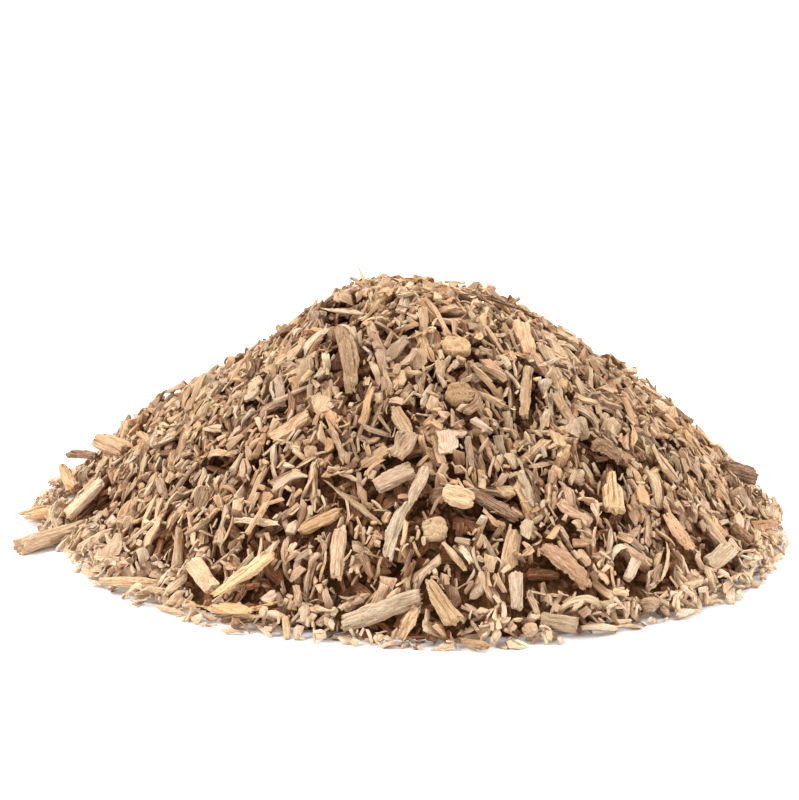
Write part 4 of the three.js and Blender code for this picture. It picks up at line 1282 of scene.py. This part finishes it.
class KAVA_OT_small_chips(bpy.types.Operator):
    """Heap up the thousands of small chips and the bed they lie on"""

    bl_idname = "kava.small_chips"
    bl_label = "Heap of Small Chips"

    def execute(self, context):
        settings = context.scene.kava_heap
        rng = np.random.default_rng(settings.seed)
        forms = chip_forms(settings.seed * 1000)
        grid = HeightGrid()
        target, foot = heap_target(grid)
        under, over = self.named_heights(grid)
        middle = np.where(over > 0, (under + over) / 2, under)
        target = np.minimum(target, eased(middle))
        inner = blurred(foot.astype(float), INNER_MM / CELL_MM) > 0.9
        fringe = blurred(foot.astype(float), FRINGE_MM / CELL_MM) > 0.3
        depth = settings.loose_depth / MM
        grid.height = np.where(inner, np.maximum(target - depth, 0.35), 0.0)
        bed = grid.height.copy()

        ceiling = under.copy()
        for steps in range(1, int(SIGHT_MM / CELL_MM)):
            rise = steps * CELL_MM * math.tan(context.scene.kava_stage.elevation)
            ceiling[:, :-steps] = np.minimum(ceiling[:, :-steps], middle[:, steps:] + rise)

        layer = Layer(grid, forms, rng, ceiling)
        wanted = {
            "large": settings.large_chips, "medium": settings.medium_chips, "deep": settings.deep_chips,
            "small": settings.small_chips, "crumb": settings.crumbs,
        }

        def lay(name, share, surface, places, *values, **more):
            layer.lay(name, int(wanted[name] * share), surface, places, Manner(*values, **more))

        rim = fringe & (blurred(foot.astype(float), RIM_MM / CELL_MM) < 0.86)
        # The deep and low chips get a shade of 0.85: painted shade on what shows only through the gaps
        lay("deep", 1.0, target - 4.0, foot, 2.2, 12, shade=0.85, looseness=0.12)
        lay("small", 0.22, target - 2.4, foot, 2.0, 10, shade=0.85)
        lay("crumb", 0.26, target - 2.4, foot, 1.6, 8, shade=0.85)
        lay("small", 0.06, target, rim, 3.0, 2, around=True)
        grid.height = np.where(over > 0, np.maximum(grid.height, over), grid.height)
        lay("medium", 0.10, target, rim, 3.6, 3, around=True, looseness=0.15)
        lay("small", 0.10, target, rim, 3.0, 3, looseness=0.15)
        lay("crumb", 0.06, target, rim, 2.0, 2)
        lay("large", 0.28, target, rim, 4.2, 2, around=True, looseness=0.12)
        lay("large", 0.72, target - 0.6, foot, 4.8, 12, 0.24, 0.05)
        lay("medium", 0.42, target - 0.4, fringe, 3.6, 10, 0.2, 0.1)
        lay("small", 0.26, target - 0.4, fringe, 2.6, 9, 0.14, 0.15)
        lay("medium", 0.48, target, fringe, 4.2, 12, 0.3, 0.15, looseness=0.34)
        lay("small", 0.40, target, fringe, 3.8, 12, 0.14, 0.2)
        lay("crumb", 0.68, target, fringe, 4.0, 8, cover=0.25)

        material = wood_material("mixed_split_wood")
        made = []
        for name, sectors in SECTORS.items():
            chips = sorted(layer.laid[name], key=lambda chip: math.atan2(*chip["points"][0][:2]))
            for sector in range(sectors):
                share = chips[sector * len(chips) // sectors:(sector + 1) * len(chips) // sectors]
                made.append(joined_chips(f"{name}_chips_{sector + 1}", share, grid, rng))
        for piece in made:
            piece.data.materials.append(material)
        made.append(self.bed(grid, bed, inner))
        for piece in made:
            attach(piece, "root")
            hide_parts(HEAP_NODE)
        return {"FINISHED"}

    def named_heights(self, grid):
        """The lowest and the highest point of the named chips over each cell of the grid"""
        under = np.full(grid.shape, OPEN_MM)
        over = np.full(grid.shape, -OPEN_MM)
        for node, solid in frame["nodes"].items():
            if node == HEAP_NODE:
                continue
            samples = surface_samples(solid, CELL_MM * 0.8)
            i, j = grid.cells(samples[:, 0], samples[:, 1])
            np.minimum.at(under, (i, j), samples[:, 2])
            np.maximum.at(over, (i, j), samples[:, 2])
        return under, over

    def bed(self, grid, heights, inside):
        """The crumbly bed under the separate chips, closed and flat below"""
        coarse = heights[::BED_STEP, ::BED_STEP]
        inside = inside[::BED_STEP, ::BED_STEP]
        rows, columns = coarse.shape
        bm = bmesh.new()
        bmesh.ops.create_grid(bm, x_segments=rows - 1, y_segments=columns - 1, size=1.0)
        rough = np.random.default_rng(3).uniform(-BED_ROUGH_MM, BED_ROUGH_MM, coarse.shape)
        for v in bm.verts:
            i = int(round((v.co.x + 1) / 2 * (rows - 1)))
            j = int(round((v.co.y + 1) / 2 * (columns - 1)))
            x, y = grid.place(i * BED_STEP, j * BED_STEP)
            v.co = Vector((x, y, max(BED_LEAST_MM, coarse[i, j] - BED_SINK_MM + rough[i, j]))) * MM
        outside = []
        for face in bm.faces:
            centre = face.calc_center_median() / MM
            i = min(rows - 1, int((centre.x - grid.origin[0]) / CELL_MM / BED_STEP + 0.5))
            j = min(columns - 1, int((centre.y - grid.origin[1]) / CELL_MM / BED_STEP + 0.5))
            if not inside[i, j]:
                outside.append(face)
        bmesh.ops.delete(bm, geom=outside, context="FACES")
        rim = [e for e in bm.edges if e.is_boundary]
        walls = bmesh.ops.extrude_edge_only(bm, edges=rim)
        for v in (g for g in walls["geom"] if isinstance(g, bmesh.types.BMVert)):
            v.co.z = 0.0
        bmesh.ops.contextual_create(bm, geom=[e for e in bm.edges if e.is_boundary])
        bmesh.ops.recalc_face_normals(bm, faces=bm.faces[:])
        bmesh.ops.triangulate(bm, faces=[f for f in bm.faces if len(f.verts) > 4])
        mesh = bpy.data.meshes.new("heap_bed")
        bm.to_mesh(mesh)
        bm.free()
        piece = finished_piece("heap_bed", mesh, BED_EDGE)
        mesh.materials.append(shaded_crumb_material())
        return piece


# The stage


class KAVA_OT_stage(bpy.types.Operator):
    """Set up the camera, the pale floor and the soft light"""

    bl_idname = "kava.stage"
    bl_label = "Stage"

    def execute(self, context):
        stage = context.scene.kava_stage
        scene = context.scene
        middle = Vector(FOOT_MIDDLE_MM) * MM
        eye_dir = Vector((0.0, -math.cos(stage.elevation), math.sin(stage.elevation)))
        focal_px = stage.distance / (MM_PER_PX * MM)
        drop = math.atan((FOOT_MIDDLE_PX[1] - FRAME_PX[1] / 2) / focal_px)
        down = stage.elevation - drop

        camera = bpy.data.cameras.new("camera")
        camera.sensor_fit = "HORIZONTAL"
        camera.sensor_width = 36.0
        camera.lens = 36.0 * focal_px / FRAME_PX[0]
        camera.clip_start = 0.01
        eye = bpy.data.objects.new("camera", camera)
        eye.location = middle + eye_dir * stage.distance
        eye.rotation_euler = (math.pi / 2 - down, 0.0, 0.0)
        scene.collection.objects.link(eye)
        scene.camera = eye

        bm = bmesh.new()
        bmesh.ops.create_grid(bm, x_segments=1, y_segments=1, size=stage.floor_size / 2)
        floor_mesh = bpy.data.meshes.new("floor")
        bm.to_mesh(floor_mesh)
        bm.free()
        floor = bpy.data.objects.new("floor", floor_mesh)
        scene.collection.objects.link(floor)
        floor_mesh.materials.append(self.floor_material())

        self.soft_light("left_light", (-1.05, -0.35, 0.95), 0.45, stage.left_power)
        self.soft_light("right_light", (1.1, -0.15, 0.8), 0.6, stage.right_power)
        self.soft_light("top_light", (-0.1, 0.55, 1.25), 0.6, stage.top_power)
        self.soft_light("back_light", (0.0, 1.9, 1.7), 1.6, stage.back_power, (0.0, 1.7, 0.0))

        world = bpy.data.worlds.new("studio")
        world.use_nodes = True
        background = world.node_tree.nodes["Background"]
        background.inputs["Color"].default_value = (1.0, 1.0, 1.0, 1.0)
        background.inputs["Strength"].default_value = stage.sky_strength
        scene.world = world
        scene.view_settings.view_transform = "Standard"
        scene.view_settings.look = "None"
        return {"FINISHED"}

    def floor_material(self):
        m = Material("pale_floor")
        place = m.node("ShaderNodeTexCoord", output="Object")
        cloud = m.noise(m.stretched(place, (3.0, 3.0, 3.0)), detail=2.0)
        colour = m.mix(cloud, (0.9, 0.9, 0.9, 1.0), (0.93, 0.93, 0.93, 1.0))
        shader = m.node("ShaderNodeBsdfPrincipled", None, {"Base Color": colour, "Roughness": 0.9})
        m.tree.links.new(shader.socket, m.output.inputs["Surface"])
        return m.material

    def soft_light(self, name, place, size, power, goal=(0.0, 0.0, 0.03)):
        light = bpy.data.lights.new(name, "AREA")
        light.shape = "DISK"
        light.size = size
        light.energy = power
        lamp = bpy.data.objects.new(name, light)
        lamp.location = place
        lamp.rotation_euler = (Vector(goal) - Vector(place)).to_track_quat("-Z", "Y").to_euler()
        bpy.context.scene.collection.objects.link(lamp)


class KAVA_PT_panel(bpy.types.Panel):
    """Steps of the kava root heap"""

    bl_label = "Kava Root"
    bl_idname = "KAVA_PT_panel"
    bl_space_type = "VIEW_3D"
    bl_region_type = "UI"
    bl_category = "Kava Root"

    def draw(self, context):
        scene = context.scene
        for settings in (scene.kava_heap, scene.kava_colours, scene.kava_stage):
            box = self.layout.box()
            for name in settings.bl_rna.properties.keys():
                if name not in ("rna_type", "name"):
                    box.prop(settings, name)
        for operator in OPERATORS:
            self.layout.operator(operator.bl_idname)


OPERATORS = (KAVA_OT_stage, KAVA_OT_named_chips, KAVA_OT_small_chips)
CLASSES = (HeapSettings, WoodColours, StageSettings, *OPERATORS, KAVA_PT_panel)


def register():
    for cls in CLASSES:
        bpy.utils.register_class(cls)
    bpy.types.Scene.kava_heap = PointerProperty(type=HeapSettings)
    bpy.types.Scene.kava_colours = PointerProperty(type=WoodColours)
    bpy.types.Scene.kava_stage = PointerProperty(type=StageSettings)


def unregister():
    for name in ("kava_heap", "kava_colours", "kava_stage"):
        delattr(bpy.types.Scene, name)
    for cls in reversed(CLASSES):
        bpy.utils.unregister_class(cls)


def main():
    register()
    bpy.ops.kava.stage()
    bpy.ops.kava.named_chips()
    bpy.ops.kava.small_chips()
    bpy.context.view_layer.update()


if __name__ == "__main__":
    main()
